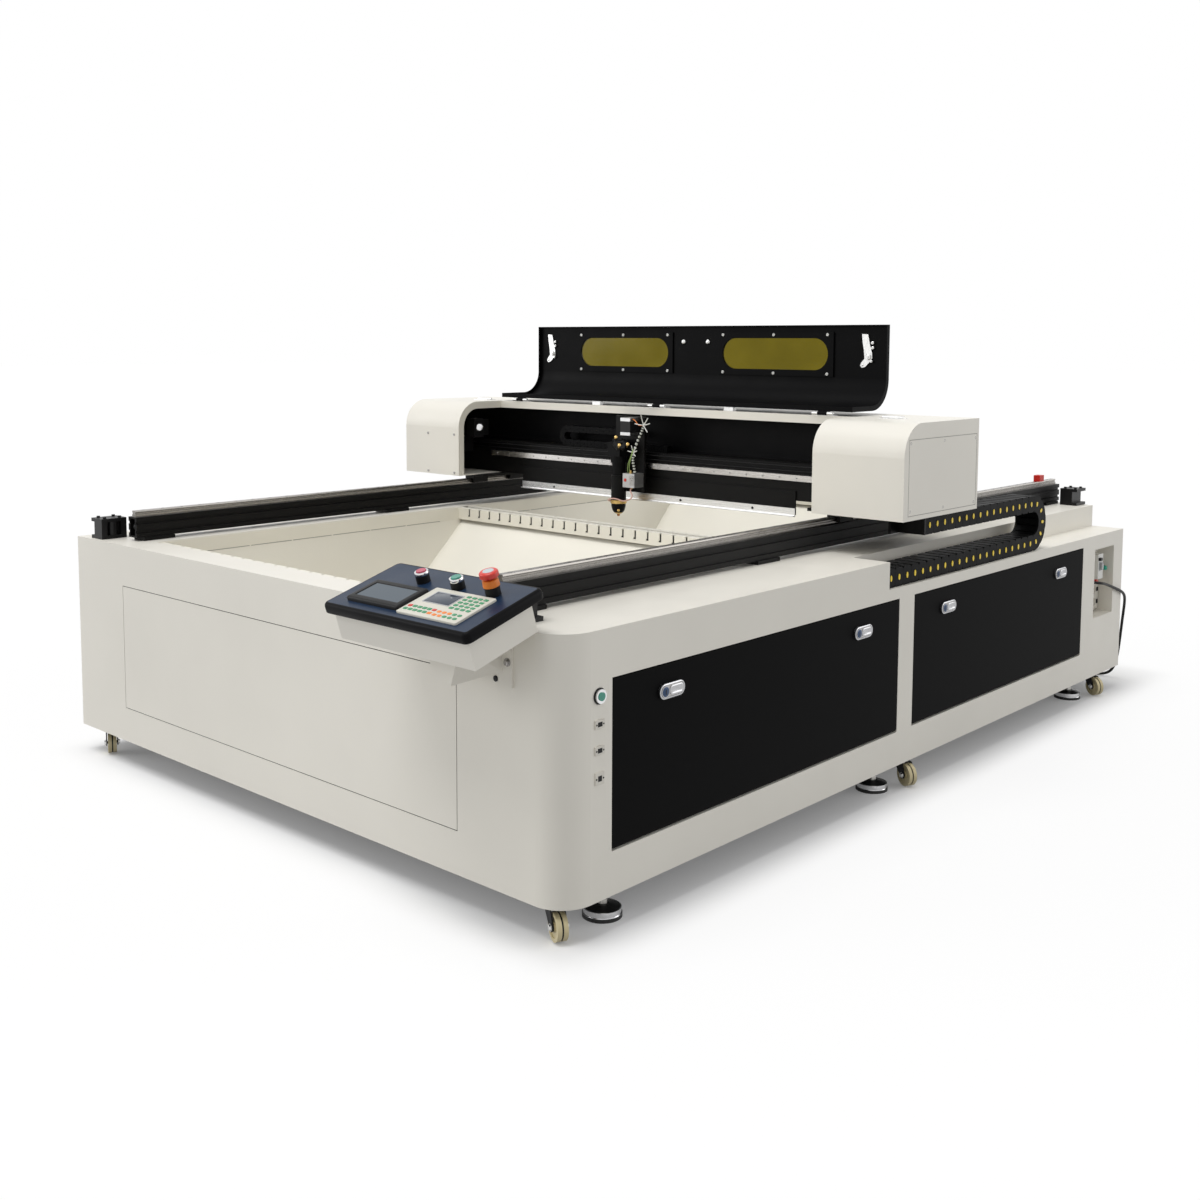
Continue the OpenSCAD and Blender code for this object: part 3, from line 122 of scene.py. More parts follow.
def floorFinish():
    nodes, links, shader, material = newFinish("floor")
    shader.inputs["Roughness"].default_value = 0.9
    shader.inputs["Specular IOR Level"].default_value = 0.1
    seen = seenRays(nodes, links)
    speck = grainOf(nodes, links, 0.6)
    tone = mapped(nodes, links, seen, studio["bounce"], studio["floor"])
    patch = computed(nodes, links, "MULTIPLY_ADD", speck, studio["speck"], tone)
    links.new(patch, shader.inputs["Base Color"])
    glow = nodes.new("ShaderNodeEmission")
    spot = nodes.new("ShaderNodeTexCoord").outputs["Object"]
    for step, other in (("SUBTRACT", studio["middle"]), ("ABSOLUTE", (0, 0, 0)),
                        ("SUBTRACT", studio["stands"]), ("MAXIMUM", (0, 0, 0)), ("LENGTH", (0, 0, 0))):
        way = nodes.new("ShaderNodeVectorMath")
        way.operation = step
        way.inputs[1].default_value = other
        links.new(spot, way.inputs[0])
        spot = way.outputs[0]
    away = mapped(nodes, links, way.outputs["Value"], *studio["floorLift"], 0, studio["fade"])
    away.node.interpolation_type = "SMOOTHSTEP"
    mix = nodes.new("ShaderNodeMixShader")
    links.new(computed(nodes, links, "MULTIPLY", seen, away), mix.inputs["Fac"])
    links.new(shader.outputs["BSDF"], mix.inputs[1])
    links.new(glow.outputs["Emission"], mix.inputs[2])
    links.new(mix.outputs["Shader"], nodes["Material Output"].inputs["Surface"])
    return material


# finishes
grainBand = (0.3, 0.7)  # the part of a noise's range that its tones are spread over


def newFinish(name):
    material = bpy.data.materials.new(name)
    material.use_nodes = True
    nodes, links = material.node_tree.nodes, material.node_tree.links
    return nodes, links, nodes["Principled BSDF"], material


def grainOf(nodes, links, scale, stretch=(1, 1, 1), detail=3):
    place = nodes.new("ShaderNodeTexCoord")
    mapping = nodes.new("ShaderNodeMapping")
    mapping.inputs["Scale"].default_value = stretch
    links.new(place.outputs["Object"], mapping.inputs["Vector"])
    noise = nodes.new("ShaderNodeTexNoise")
    noise.inputs["Scale"].default_value = scale
    noise.inputs["Detail"].default_value = detail
    links.new(mapping.outputs["Vector"], noise.inputs["Vector"])
    return noise.outputs["Fac"]


def toneBetween(nodes, links, fac, dark, light):
    ramp = nodes.new("ShaderNodeValToRGB")
    for stop, spot, color in zip(ramp.color_ramp.elements, grainBand, (dark, light)):
        stop.position = spot
        stop.color = (*color, 1)
    links.new(fac, ramp.inputs["Fac"])
    return ramp.outputs["Color"]


def computed(nodes, links, operation, *values):  # a math node fed by sockets or plain numbers
    result = nodes.new("ShaderNodeMath")
    result.operation = operation
    for socket, value in zip(result.inputs, values):
        if isinstance(value, float):
            socket.default_value = value
        else:
            links.new(value, socket)
    return result.outputs[0]


def mapped(nodes, links, value, low, high, start=0, stop=1):
    span = nodes.new("ShaderNodeMapRange")
    for socket, limit in (("From Min", start), ("From Max", stop), ("To Min", low), ("To Max", high)):
        span.inputs[socket].default_value = limit
    links.new(value, span.inputs["Value"])
    return span.outputs["Result"]


def spread(nodes, links, fac, low, high):
    return mapped(nodes, links, fac, low, high, *grainBand)


def bumpFrom(nodes, links, fac, strength, depth):
    bump = nodes.new("ShaderNodeBump")
    bump.inputs["Strength"].default_value = strength
    bump.inputs["Distance"].default_value = depth
    links.new(fac, bump.inputs["Height"])
    return bump.outputs["Normal"]


def scaled(color, factor):
    return tuple(min(1, c * factor) for c in color)


def coated(name, color, rough, peel=0.12, mottle=0.03, metallic=0.0, coat=0.0, gloss=0.5):
    nodes, links, shader, material = newFinish(name)
    patches = grainOf(nodes, links, 2.2)
    color = toneBetween(nodes, links, patches, scaled(color, 1 - mottle), scaled(color, 1 + mottle))
    links.new(color, shader.inputs["Base Color"])
    smears = grainOf(nodes, links, 14)
    links.new(spread(nodes, links, smears, rough - 0.05, rough + 0.05), shader.inputs["Roughness"])
    skin = grainOf(nodes, links, 700, detail=2)
    links.new(bumpFrom(nodes, links, skin, peel, 0.0004), shader.inputs["Normal"])
    shader.inputs["Metallic"].default_value = metallic
    shader.inputs["Coat Weight"].default_value = coat
    shader.inputs["Specular IOR Level"].default_value = gloss
    return material


def brushed(name, color, rough, stretch=(1, 60, 60), scale=40):  # drawn, ground or turned metal
    nodes, links, shader, material = newFinish(name)
    lines = grainOf(nodes, links, scale, stretch, 4)
    links.new(toneBetween(nodes, links, lines, scaled(color, 0.88), scaled(color, 1.06)),
              shader.inputs["Base Color"])
    links.new(spread(nodes, links, lines, rough - 0.07, rough + 0.1), shader.inputs["Roughness"])
    links.new(bumpFrom(nodes, links, lines, 0.08, 0.0002), shader.inputs["Normal"])
    shader.inputs["Metallic"].default_value = 1
    return material


def banded(name, axis, bands, peel=0.06, gloss=0.5):  # finishes in bands along an axis
    nodes, links, shader, material = newFinish(name)
    place = nodes.new("ShaderNodeTexCoord")
    split = nodes.new("ShaderNodeSeparateXYZ")
    links.new(place.outputs["Object"], split.inputs["Vector"])
    low, high = bands[0][0], bands[-1][0] + 0.05
    along = mapped(nodes, links, split.outputs[axis], 0, 1, low, high)
    ramps = {}
    for key in ("Base Color", "Metallic", "Roughness"):
        ramp = nodes.new("ShaderNodeValToRGB")
        ramp.color_ramp.interpolation = "CONSTANT"
        links.new(along, ramp.inputs["Fac"])
        ramps[key] = ramp
    for i, (start, color, metallic, rough) in enumerate(bands):
        for key, value in (("Base Color", color), ("Metallic", (metallic,) * 3),
                           ("Roughness", (rough,) * 3)):
            stops = ramps[key].color_ramp.elements
            spot = (start - low) / (high - low)
            stop = stops[i] if i < 2 else stops.new(spot)
            stop.position = spot
            stop.color = (*value, 1)
    tint = nodes.new("ShaderNodeMix")
    tint.data_type = "RGBA"
    tint.blend_type = "MULTIPLY"
    tint.inputs["Factor"].default_value = 1
    wear = grainOf(nodes, links, 60)
    links.new(ramps["Base Color"].outputs["Color"], tint.inputs["A"])
    links.new(toneBetween(nodes, links, wear, (0.9, 0.9, 0.9), (1, 1, 1)), tint.inputs["B"])
    links.new(tint.outputs["Result"], shader.inputs["Base Color"])
    links.new(ramps["Metallic"].outputs["Color"], shader.inputs["Metallic"])
    links.new(ramps["Roughness"].outputs["Color"], shader.inputs["Roughness"])
    skin = grainOf(nodes, links, 500, detail=2)
    links.new(bumpFrom(nodes, links, skin, peel, 0.0003), shader.inputs["Normal"])
    shader.inputs["Specular IOR Level"].default_value = gloss
    return material


def seeThrough(name, color, rough, clear, bend=1.49):
    nodes, links, shader, material = newFinish(name)
    haze = grainOf(nodes, links, 9)
    links.new(toneBetween(nodes, links, haze, scaled(color, 0.8), color), shader.inputs["Base Color"])
    links.new(spread(nodes, links, haze, rough, rough + 0.08), shader.inputs["Roughness"])
    shader.inputs["Transmission Weight"].default_value = clear
    shader.inputs["IOR"].default_value = bend
    return material


chromeGrey = (0.78, 0.78, 0.79)
brassTone = (0.75, 0.52, 0.2)

creamPaint = coated("creamPaint", (0.80, 0.772, 0.70), 0.42)
hopperPaint = coated("hopperPaint", (0.82, 0.79, 0.70), 0.5)
seamTone = coated("seamTone", (0.33, 0.32, 0.29), 0.6)
blackPaint = coated("blackPaint", (0.0032, 0.0032, 0.0035), 0.42, peel=0.2, gloss=0.045)
linerPaint = coated("linerPaint", (0.0036, 0.0036, 0.004), 0.5, gloss=0.06)
anodised = coated("anodised", (0.005, 0.0048, 0.0047), 0.4, peel=0.05, gloss=0.11)
navyPaint = coated("navyPaint", (0.009, 0.024, 0.056), 0.32, peel=0.35, gloss=0.2)
lipRubber = coated("lipRubber", (0.0042, 0.0042, 0.0048), 0.4, gloss=0.06)
blackPlastic = coated("blackPlastic", (0.007, 0.007, 0.0075), 0.45, peel=0.25, gloss=0.2)
linkPlastic = coated("linkPlastic", (0.0045, 0.0045, 0.0048), 0.5, peel=0.3, gloss=0.06)
capPlastic = coated("capPlastic", (0.98, 0.70, 0.02), 0.4)
keypadPlastic = coated("keypadPlastic", (0.66, 0.64, 0.56), 0.5)
screenGlass = coated("screenGlass", (0.04, 0.065, 0.09), 0.1, peel=0.0, gloss=0.35)
displayGlass = coated("displayGlass", (0.035, 0.05, 0.075), 0.15, peel=0.0, gloss=0.5)
redLens = coated("redLens", (0.5, 0.03, 0.08), 0.25, peel=0.02, coat=0.3)
greenLens = coated("greenLens", (0.02, 0.27, 0.19), 0.25, peel=0.02, coat=0.3)
signalRed = coated("signalRed", (0.66, 0.025, 0.012), 0.3, peel=0.03, coat=0.2)
signalOrange = coated("signalOrange", (0.85, 0.22, 0.02), 0.35)
signalYellow = coated("signalYellow", (0.85, 0.6, 0.04), 0.4)
keyGreen = coated("keyGreen", (0.05, 0.28, 0.13), 0.45)
tealPlastic = coated("tealPlastic", (0.01, 0.36, 0.24), 0.35)
keyBlue = coated("keyBlue", (0.02, 0.05, 0.12), 0.3, metallic=0.4)
whitePlastic = coated("whitePlastic", (0.78, 0.78, 0.75), 0.4)
palePlastic = coated("palePlastic", (0.52, 0.58, 0.6), 0.35)
wrapPlastic = coated("wrapPlastic", (0.56, 0.58, 0.53), 0.4)
wireGreen = coated("wireGreen", (0.29, 0.42, 0.13), 0.4)
hosePink = coated("hosePink", (0.6, 0.36, 0.3), 0.35)
greyPaint = coated("greyPaint", (0.4, 0.41, 0.42), 0.4)
frameBlack = coated("frameBlack", (0.009, 0.009, 0.01), 0.45, gloss=0.25)
leadRubber = coated("leadRubber", (0.007, 0.007, 0.007), 0.5, peel=0.2, gloss=0.25)
nylon = coated("nylon", (0.66, 0.57, 0.34), 0.42)
groundSteel = brushed("groundSteel", (0.30, 0.285, 0.265), 0.28, (60, 1, 60))
railSteel = brushed("railSteel", (0.60, 0.58, 0.56), 0.22, (1, 60, 60))
brightStrip = brushed("brightStrip", (0.78, 0.78, 0.78), 0.3, (1, 80, 80))
zinc = brushed("zinc", (0.68, 0.68, 0.67), 0.3, (20, 20, 1))
screwSteel = brushed("screwSteel", (0.4, 0.39, 0.38), 0.3, (6, 6, 6))
chromed = brushed("chromed", chromeGrey, 0.14, (4, 4, 4))
lockSteel = brushed("lockSteel", (0.46, 0.46, 0.47), 0.26, (4, 4, 4))
brass = brushed("brass", brassTone, 0.25, (30, 30, 1))
amberWindow = seeThrough("amberWindow", (0.165, 0.13, 0.006), 0.05, 0.94, bend=1.2)
tubeGlass = seeThrough("tubeGlass", (0.86, 0.91, 0.92), 0.03, 0.9)
print("finishes ready")


# mesh helpers, all in millimetres through at()
def newPiece(name, bm, *finishes):
    bmesh.ops.recalc_face_normals(bm, faces=bm.faces)
    mesh = bpy.data.meshes.new(name)
    bm.to_mesh(mesh)
    bm.free()
    for polygon in mesh.polygons:
        polygon.use_smooth = True
    mesh.set_sharp_from_angle(angle=math.radians(38))
    for finish in finishes:
        mesh.materials.append(finish)
    piece = bpy.data.objects.new(name, mesh)
    scene.collection.objects.link(piece)
    return piece


def softEdges(piece, width, segments=2):
    bevel = piece.modifiers.new("softEdges", "BEVEL")
    bevel.width = width / 1000
    bevel.segments = segments
    bevel.limit_method = "ANGLE"
    bevel.angle_limit = math.radians(40)
    return piece


def addBlock(bm, low, high, slot=0, place=at):
    verts = [bm.verts.new(place(x, y, z)) for z in (low[2], high[2]) for y in (low[1], high[1])
             for x in (low[0], high[0])]
    for corners in ((0, 2, 3, 1), (4, 5, 7, 6), (0, 1, 5, 4), (2, 6, 7, 3), (0, 4, 6, 2), (1, 3, 7, 5)):
        bm.faces.new([verts[i] for i in corners]).material_index = slot


def anglesOf(steps):
    return [2 * math.pi * k / steps for k in range(steps)]


def skin(bm, rings, slots):  # faces from ring to ring, where a ring may be one point, and over each end
    count = max(len(ring) for ring in rings)
    for i, (lower, upper) in enumerate(zip(rings, rings[1:])):
        for k in range(count):
            spots = ((lower, k), (lower, k + 1), (upper, k + 1), (upper, k))
            corners = dict.fromkeys(ring[step % len(ring)] for ring, step in spots)
            bm.faces.new(list(corners)).material_index = slots[min(i, len(slots) - 1)]
    for ring, slot in ((rings[0], slots[0]), (rings[-1], slots[-1])):
        if len(ring) > 1:
            bm.faces.new(ring).material_index = slot


def addTurned(bm, base, axis, profile, slot=0, steps=24):  # profile is (radius, height) up the axis
    axis = Vector(axis).normalized()
    side = axis.orthogonal().normalized()
    other = axis.cross(side)
    rings = []
    for radius, height in profile:
        middle = base + axis * (height / 1000)
        if radius <= 0:
            rings.append([bm.verts.new(middle)])
            continue
        rings.append([bm.verts.new(middle + (side * math.cos(a) + other * math.sin(a)) * (radius / 1000))
                      for a in anglesOf(steps)])
    skin(bm, rings, [slot])


def roundedOutline(low, high, radius, inset=0, steps=5):
    x0, y0, x1, y1 = low[0] + inset, low[1] + inset, high[0] - inset, high[1] - inset
    r = max(radius - inset, 0.5)
    spots = []
    middles = ((x1 - r, y1 - r), (x0 + r, y1 - r), (x0 + r, y0 + r), (x1 - r, y0 + r))
    for quarter, (cx, cy) in enumerate(middles):
        for k in range(steps + 1):
            a = math.radians(90 * (quarter + k / steps))
            spots.append((cx + r * math.cos(a), cy + r * math.sin(a)))
    return spots


def addLayers(bm, low, high, radius, layers, place, slots):  # layers are (inset, height) up a rounded plate
    rings = [[bm.verts.new(place(x, y, height)) for x, y in roundedOutline(low, high, radius, inset)]
             for inset, height in layers]
    skin(bm, rings, slots)


def addPrism(bm, outline, place, near, far, slot=0):  # outline in the piece's own plane
    skin(bm, [[bm.verts.new(place(a, b, depth)) for a, b in outline] for depth in (near, far)], [slot])


def edgeStrips(low, high, wide):  # the four sides of a frame in a plane, as pairs of corners
    (x0, y0), (x1, y1) = low, high
    return (((x0, y0), (x1, y0 + wide)), ((x0, y1 - wide), (x1, y1)), ((x0, y0), (x0 + wide, y1)),
            ((x1 - wide, y0), (x1, y1)))


def upright(x, z, y):  # a place for outlines that stand in the XZ plane
    return at(x, y, z)


def addScrew(bm, p, axis, radius=5, slot=0):
    h = radius * 0.55
    addTurned(bm, p, axis, [(radius, 0), (radius, h * 0.6), (radius * 0.85, h), (radius * 0.5, h),
                            (radius * 0.45, h * 0.45), (0, h * 0.45)], slot, 12)


def smoothLine(points, steps):
    spots = []
    for i in range(len(points) - 1):
        a = points[max(i - 1, 0)]
        b, c = points[i], points[i + 1]
        d = points[min(i + 2, len(points) - 1)]
        for k in range(steps):
            u = k / steps
            spots.append(0.5 * (2 * b + u * (c - a) + u * u * (2 * a - 5 * b + 4 * c - d)
                                + u ** 3 * (3 * b - a - 3 * c + d)))
    return spots + [points[-1]]


def addTube(bm, line, radiusAt, slot=0, sides=10):
    rings = []
    side = None
    for i, p in enumerate(line):
        heading = (line[min(i + 1, len(line) - 1)] - line[max(i - 1, 0)]).normalized()
        side = heading.orthogonal() if side is None else side - heading * side.dot(heading)
        side.normalize()
        other = heading.cross(side)
        r = radiusAt(i) / 1000
        rings.append([bm.verts.new(p + (side * math.cos(a) + other * math.sin(a)) * r)
                      for a in anglesOf(sides)])
    skin(bm, rings, [slot])


addCamera()
addStudio()
print("camera and studio ready")

# mains lead: out of the recess, past the rear corner, down to the floor and into a coil behind the machine
lead = {"diameter": 10, "coil": (640, 3081), "inner": 50, "outer": 60, "hump": 4, "turns": 5.5,
        "climb": 2.75, "cross": 0.5, "top": 32.5, "tieX": -40, "tieR": 1.4,
        "route": [(972, 2672, 408), (979, 2672, 408), (986, 2672, 408), (1001, 2681, 407.5),
                  (1012, 2696, 405), (1016, 2714, 402), (1016, 2750, 393), (1016, 2790, 381),
                  (1016, 2830, 369), (1016, 2870, 356), (1015, 2900, 344), (1011, 2928, 327),
                  (1004, 2950, 302), (996, 2966, 270), (988, 2978, 230), (981, 2987, 185), (974, 2994, 135),
                  (966, 3000, 88), (955, 3005, 50), (937, 3009, 23), (910, 3012, 9),
                  (875, 3016, 5), (820, 3022, 5), (760, 3028, 5), (700, 3031, 5), (660, 3031, 5)],
        "toPlug": [(672, 3141, 7), (694, 3141, 12), (706, 3141, 15), (714, 3141, 15), (722, 3141, 15)]}


def coilLine():
    climb, cross, top = lead["climb"], lead["cross"], lead["top"]
    heights = [(0, 5), (climb, top), (climb + cross / 2, top + lead["hump"]), (climb + cross, top), (4, 25),
               (5, 15), (lead["turns"], 5)]
    spots = []
    steps = 24
    for k in range(int(lead["turns"] * steps) + 1):
        turn = k / steps
        for (t0, z0), (t1, z1) in zip(heights, heights[1:]):
            if t0 <= turn <= t1:
                z = z0 + (z1 - z0) * (turn - t0) / (t1 - t0)
        across = min(1, max(0, (turn - climb) / cross))
        across = across * across * (3 - 2 * across)
        radius = lead["inner"] + (lead["outer"] - lead["inner"]) * across
        angle = math.radians(-90) - 2 * math.pi * turn
        x, y = lead["coil"]
        spots.append(at(x + radius * math.cos(angle), y + radius * math.sin(angle), z))
    return spots


def addLead():
    run = smoothLine([at(*p) for p in lead["route"]], 3)
    x, y = lead["coil"]
    tail = smoothLine([at(x, y + lead["outer"], 5)] + [at(*p) for p in lead["toPlug"]], 4)
    line = run + coilLine() + tail[1:]
    for spot in line:
        spot.z = max(spot.z, lead["diameter"] / 2000)
    curve = bpy.data.curves.new("mainsLead", "CURVE")
    curve.dimensions = "3D"
    curve.bevel_depth = lead["diameter"] / 2000
    curve.bevel_resolution = 3
    curve.use_fill_caps = True
    spline = curve.splines.new("POLY")
    spline.points.add(len(line) - 1)
    for point, spot in zip(spline.points, line):
        point.co = (*spot, 1)
    curve.materials.append(leadRubber)
    piece = bpy.data.objects.new("mainsLead", curve)
    scene.collection.objects.link(piece)
    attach(piece, "machine")
    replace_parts(piece, "mains_cord", "cord_coil")
    bm = bmesh.new()
    wrap = [at(x + lead["tieX"] - r, y, z) for r, z in ((1, -1), (1, 38), (26, 38), (26, -1))]
    loop = [Vector((p.x, p.y, max(p.z, 0.0015))) for p in smoothLine(wrap + [wrap[0]], 6)]
    addTube(bm, loop, lambda i: lead["tieR"], sides=8)
    tie = newPiece("leadTie", bm, blackPlastic)
    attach(tie, "machine")


addLead()

# finishes of the machine's own solids
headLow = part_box("lens_tube")[0][2]
doorFace = at(1008, 0, 0).x
lensFinish = banded("lensFinish", "Z", [(headLow - 0.03, (0.55, 0.25, 0.1), 1, 0.3),
                                        (headLow + 0.0075, brassTone, 1, 0.25),
                                        (headLow + 0.0125, (0.0045, 0.0045, 0.0045), 0, 0.3),
                                        (headLow + 0.0425, brassTone, 1, 0.25),
                                        (headLow + 0.0545, (0.0045, 0.0045, 0.0045), 0, 0.35)], gloss=0.12)
footFinish = banded("footFinish", "Z", [(-0.001, (0.012, 0.012, 0.012), 0, 0.6),
                                        (0.0088, chromeGrey, 1, 0.18),
                                        (0.0208, (0.02, 0.02, 0.02), 0.2, 0.35),
                                        (0.0274, (0.5, 0.49, 0.46), 1, 0.3)])
doorFinish = banded("doorFinish", "X", [(doorFace - 0.1, (0.003, 0.003, 0.0031), 0, 0.55),
                                        (doorFace + 0.0004, (0.42, 0.42, 0.43), 1, 0.26)],
                    peel=0.2, gloss=0.03)
blockFinish = banded("blockFinish", "Z", [(0.3, (0.008, 0.008, 0.0085), 0, 0.4),
                                          (0.735, (0.6, 0.02, 0.012), 0, 0.4)], gloss=0.25)
motorFinish = banded("motorFinish", "Z", [(0.9, (0.6, 0.6, 0.6), 1, 0.3),
                                          (0.942, (0.008, 0.008, 0.0085), 0, 0.45),
                                          (0.978, (0.6, 0.6, 0.6), 1, 0.3)], gloss=0.25)
headFinish = banded("headFinish", "X", [(-0.2, (0.0045, 0.0045, 0.0048), 0, 0.4),
                                        (-0.062, (0.5, 0.5, 0.5), 0.8, 0.35)], gloss=0.08)
portFinish = banded("portFinish", "Z", [(0.2, (0.74, 0.71, 0.64), 0, 0.42), (0.486, chromeGrey, 1, 0.15)])
nodeFinish = {
    "cabinet_shell": creamPaint, "base_frame": frameBlack, "front_panel": creamPaint,
    "hoppers": hopperPaint, "slat_combs": hopperPaint, "rail_beams": anodised,
    "guide_rails": groundSteel, "belt_blocks": blockFinish, "console_bracket": creamPaint,
    "console_tub": creamPaint, "button_housings": blackPlastic, "side_ports": portFinish,
    "mains_panel": creamPaint, "electronics": greyPaint, "mains_plug": blackPlastic,
    "levelling_feet": footFinish, "gantry_cover": creamPaint, "gantry_carriages": anodised,
    "x_beam": anodised, "x_guide_rail": railSteel, "edge_strip": brightStrip,
    "gantry_liner": linerPaint, "laser_tube": tubeGlass, "lid_hinges": zinc, "x_drive": blackPlastic,
    "lid_shell": blackPaint, "lid_windows": amberWindow, "window_frames": blackPaint,
    "lid_fittings": zinc, "head_carriage": anodised, "head_body": headFinish,
    "lift_motor": motorFinish, "lens_tube": lensFinish, "front_door": doorFinish,
    "rear_door": doorFinish, "estop_button": signalRed, "stop_button": redLens,
    "start_button": greenLens, "side_button": greenLens,
}
for name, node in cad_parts.items():
    finish = nodeFinish.get(name)
    if name.startswith("caster_"):
        finish = frameBlack
    if name.startswith("wheel_"):
        finish = nylon
    if finish:
        node.data.materials.clear()
        node.data.materials.append(finish)
print("solids finished")

# long drag chain on the ledge: every link a piece of its own, baked in place
chain = {"x0": 918, "x1": 998, "height": 52, "start": 1264, "bracket": 1470, "bend": 2172, "lowerZ": 602,
         "upperZ": 728, "lower": 21, "upper": 16, "bendLinks": 5, "plate": 8, "tail": 4}
small = {"y0": 1503, "y1": 1533, "height": 22, "start": 35, "bracket": -110, "bend": -420, "lowerZ": 884,
         "upperZ": 932, "lower": 14, "upper": 10, "bendLinks": 4, "plate": 3, "tail": 2}


def followBetween(piece):
    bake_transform(piece)


def linkPiece(name, centre, heading, across, pitch, width, spec, tailLength, finishes):
    up = across.cross(heading)
    height, plate, tail = spec["height"], spec["plate"], spec["tail"]

    def place(a, b, c):
        return centre + (heading * a + up * b + across * c) / 1000

    bm = bmesh.new()
    half, tall, chamfer = pitch / 2, height / 2, height * 0.11
    corner = [(half - chamfer, tall), (half, tall - chamfer)]
    outline = [(sx * a, sz * b) for sx, sz in ((1, 1), (1, -1), (-1, -1), (-1, 1))
               for a, b in (corner if sx == sz else reversed(corner))]
    cap = [(0.09 * height * math.cos(a), 0.16 * height * math.sin(a)) for a in anglesOf(16)]
    reach = half + tailLength
    strip = tall * 0.66
    for side in (-1, 1):
        outer, inner = side * width / 2, side * (width / 2 - plate)
        addPrism(bm, outline, place, outer, inner)
        addPrism(bm, cap, place, outer, outer + side * 1.1, 1)
        tongue = [(0, -strip), (reach, -strip), (reach, strip), (0, strip)]
        addPrism(bm, tongue, place, inner, inner - side * tail)
    bar = height * 0.12
    wide = half * 0.8
    for low in (-tall, tall - bar):
        addPrism(bm, [(-wide, low), (wide, low), (wide, low + bar), (-wide, low + bar)],
                 place, -width / 2 + plate, width / 2 - plate)
    cable = height * 0.16
    addPrism(bm, [(-half, -cable), (reach, -cable), (reach, cable), (-half, cable)], place,
             -width / 2 + plate + tail + 1, width / 2 - plate - tail - 1)
    return newPiece(name, bm, *finishes)


def bendPiece(name, centre, across, out, spec, radius, width, finishes):
    bm = bmesh.new()
    count = spec["bendLinks"]
    height = spec["height"]
    steps = 6

    def place(r, angle, c):
        a = math.radians(angle)
        return centre + ((out * math.cos(a) + Vector((0, 0, 1)) * math.sin(a)) * r + across * c) / 1000

    for i in range(count):
        first, last = -90 + 180 * i / count, -90 + 180 * (i + 1) / count
        gap = 2.2
        for side in (-1, 1):
            sweep = [first + (last - first) * k / steps for k in range(steps + 1)]
            rim = radius + height / 2
            outer = [(rim - (gap if k in (0, steps) else 0), a) for k, a in enumerate(sweep)]
            inner = [(radius - height / 2, a) for a in reversed(sweep)]
            addPrism(bm, outer + inner, place, side * width / 2, side * (width / 2 - spec["plate"]))
            mid = (first + last) / 2
            reach = math.degrees(0.1 * height / radius)
            spots = [(radius + 0.15 * height * math.cos(t), mid + reach * math.sin(t))
                     for t in anglesOf(16)]
            addPrism(bm, spots, place, side * width / 2, side * (width / 2 + 1.1), 1)
        edge = width / 2 - spec["plate"]
        narrow = (last - first) * 0.1
        for low in (0.36, -0.48):
            near, far = radius + height * low, radius + height * (low + 0.12)
            bar = [(near, first + narrow), (far, first + narrow), (far, mid), (far, last - narrow),
                   (near, last - narrow), (near, mid)]
            addPrism(bm, bar, place, -edge, edge)
        sweep = [first + (last - first) * k / 4 for k in range(5)]
        cable = [(radius + height * 0.16, a) for a in sweep]
        cable += [(radius - height * 0.16, a) for a in reversed(sweep)]
        addPrism(bm, cable, place, 1 - edge, edge - 1)
    return newPiece(name, bm, *finishes)


def addChain(title, spec, along, across, spotOf, finishes, nodes):
    width = spec.get("x1", spec.get("y1")) - spec.get("x0", spec.get("y0"))
    pieces = []
    forward = 1 if spec["bend"] > spec["start"] else -1
    for run, origin in (("lower", spec["start"]), ("upper", spec["bracket"])):
        count = spec[run]
        pitch = abs(spec["bend"] - origin) / count
        for i in range(count):
            centre = spotOf(origin + forward * (i + 0.5) * pitch, spec[run + "Z"])
            reach = pitch * (0.98 if i < count - 1 else 0.4)
            name = f"{title}{run.capitalize()}{i:02d}"
            link = linkPiece(name, centre, along * forward, across, pitch * 0.985, width, spec, reach,
                             finishes)
            followBetween(link)
            pieces.append(link)
    radius = (spec["upperZ"] - spec["lowerZ"]) / 2
    centre = spotOf(spec["bend"], (spec["upperZ"] + spec["lowerZ"]) / 2)
    bend = bendPiece(title + "Bend", centre, across, along * forward, spec, radius, width, finishes)
    followBetween(bend)
    pieces.append(bend)
    for piece in pieces:
        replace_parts(piece, *nodes)
    print(title, len(pieces), "pieces")


addChain("longChain", chain, Vector((0, 1, 0)), Vector((1, 0, 0)),
         lambda y, z: at((chain["x0"] + chain["x1"]) / 2, y, z), (linkPlastic, capPlastic),
         ("drag_chain_lower", "drag_chain_upper"))
addChain("shortChain", small, Vector((1, 0, 0)), Vector((0, -1, 0)),
         lambda x, z: at(x, (small["y0"] + small["y1"]) / 2, z), (linkPlastic, linkPlastic),
         ("x_chain_lower", "x_chain_upper"))

# console
console = {"x": 506, "reach": 216, "z": 685, "tilt": 16.6, "wide": 452, "deep": 220, "thick": 24,
           "corner": 14, "buttonV": 157, "buttons": (155, 265, 370), "screen": (50, 30, 217, 120),
           "keypad": (220, 23, 400, 138), "display": (242, 75, 324, 123), "plate": -6,
           "bolts": ((853, 578), (703, 578)), "holeShades": ((818, 538), (712, 538)),
           "keys": ({"grid": (4, 5), "start": (110, 46), "step": (16.5, 12.4), "size": (11.5, 7.5),
                     "round": 2},
                    {"grid": (6, 2), "start": (8, 12), "step": (14.6, 14), "size": (11, 8), "round": 2,
                     "red": ((0, 1), (5, 1)), "orange": ((5, 0),)},
                    {"grid": (5, 2), "start": (98, 10), "step": (15, 14), "size": (11, 8), "round": 3.5,
                     "orange": ((0, 0), (0, 1), (1, 0), (1, 1), (2, 1))})}


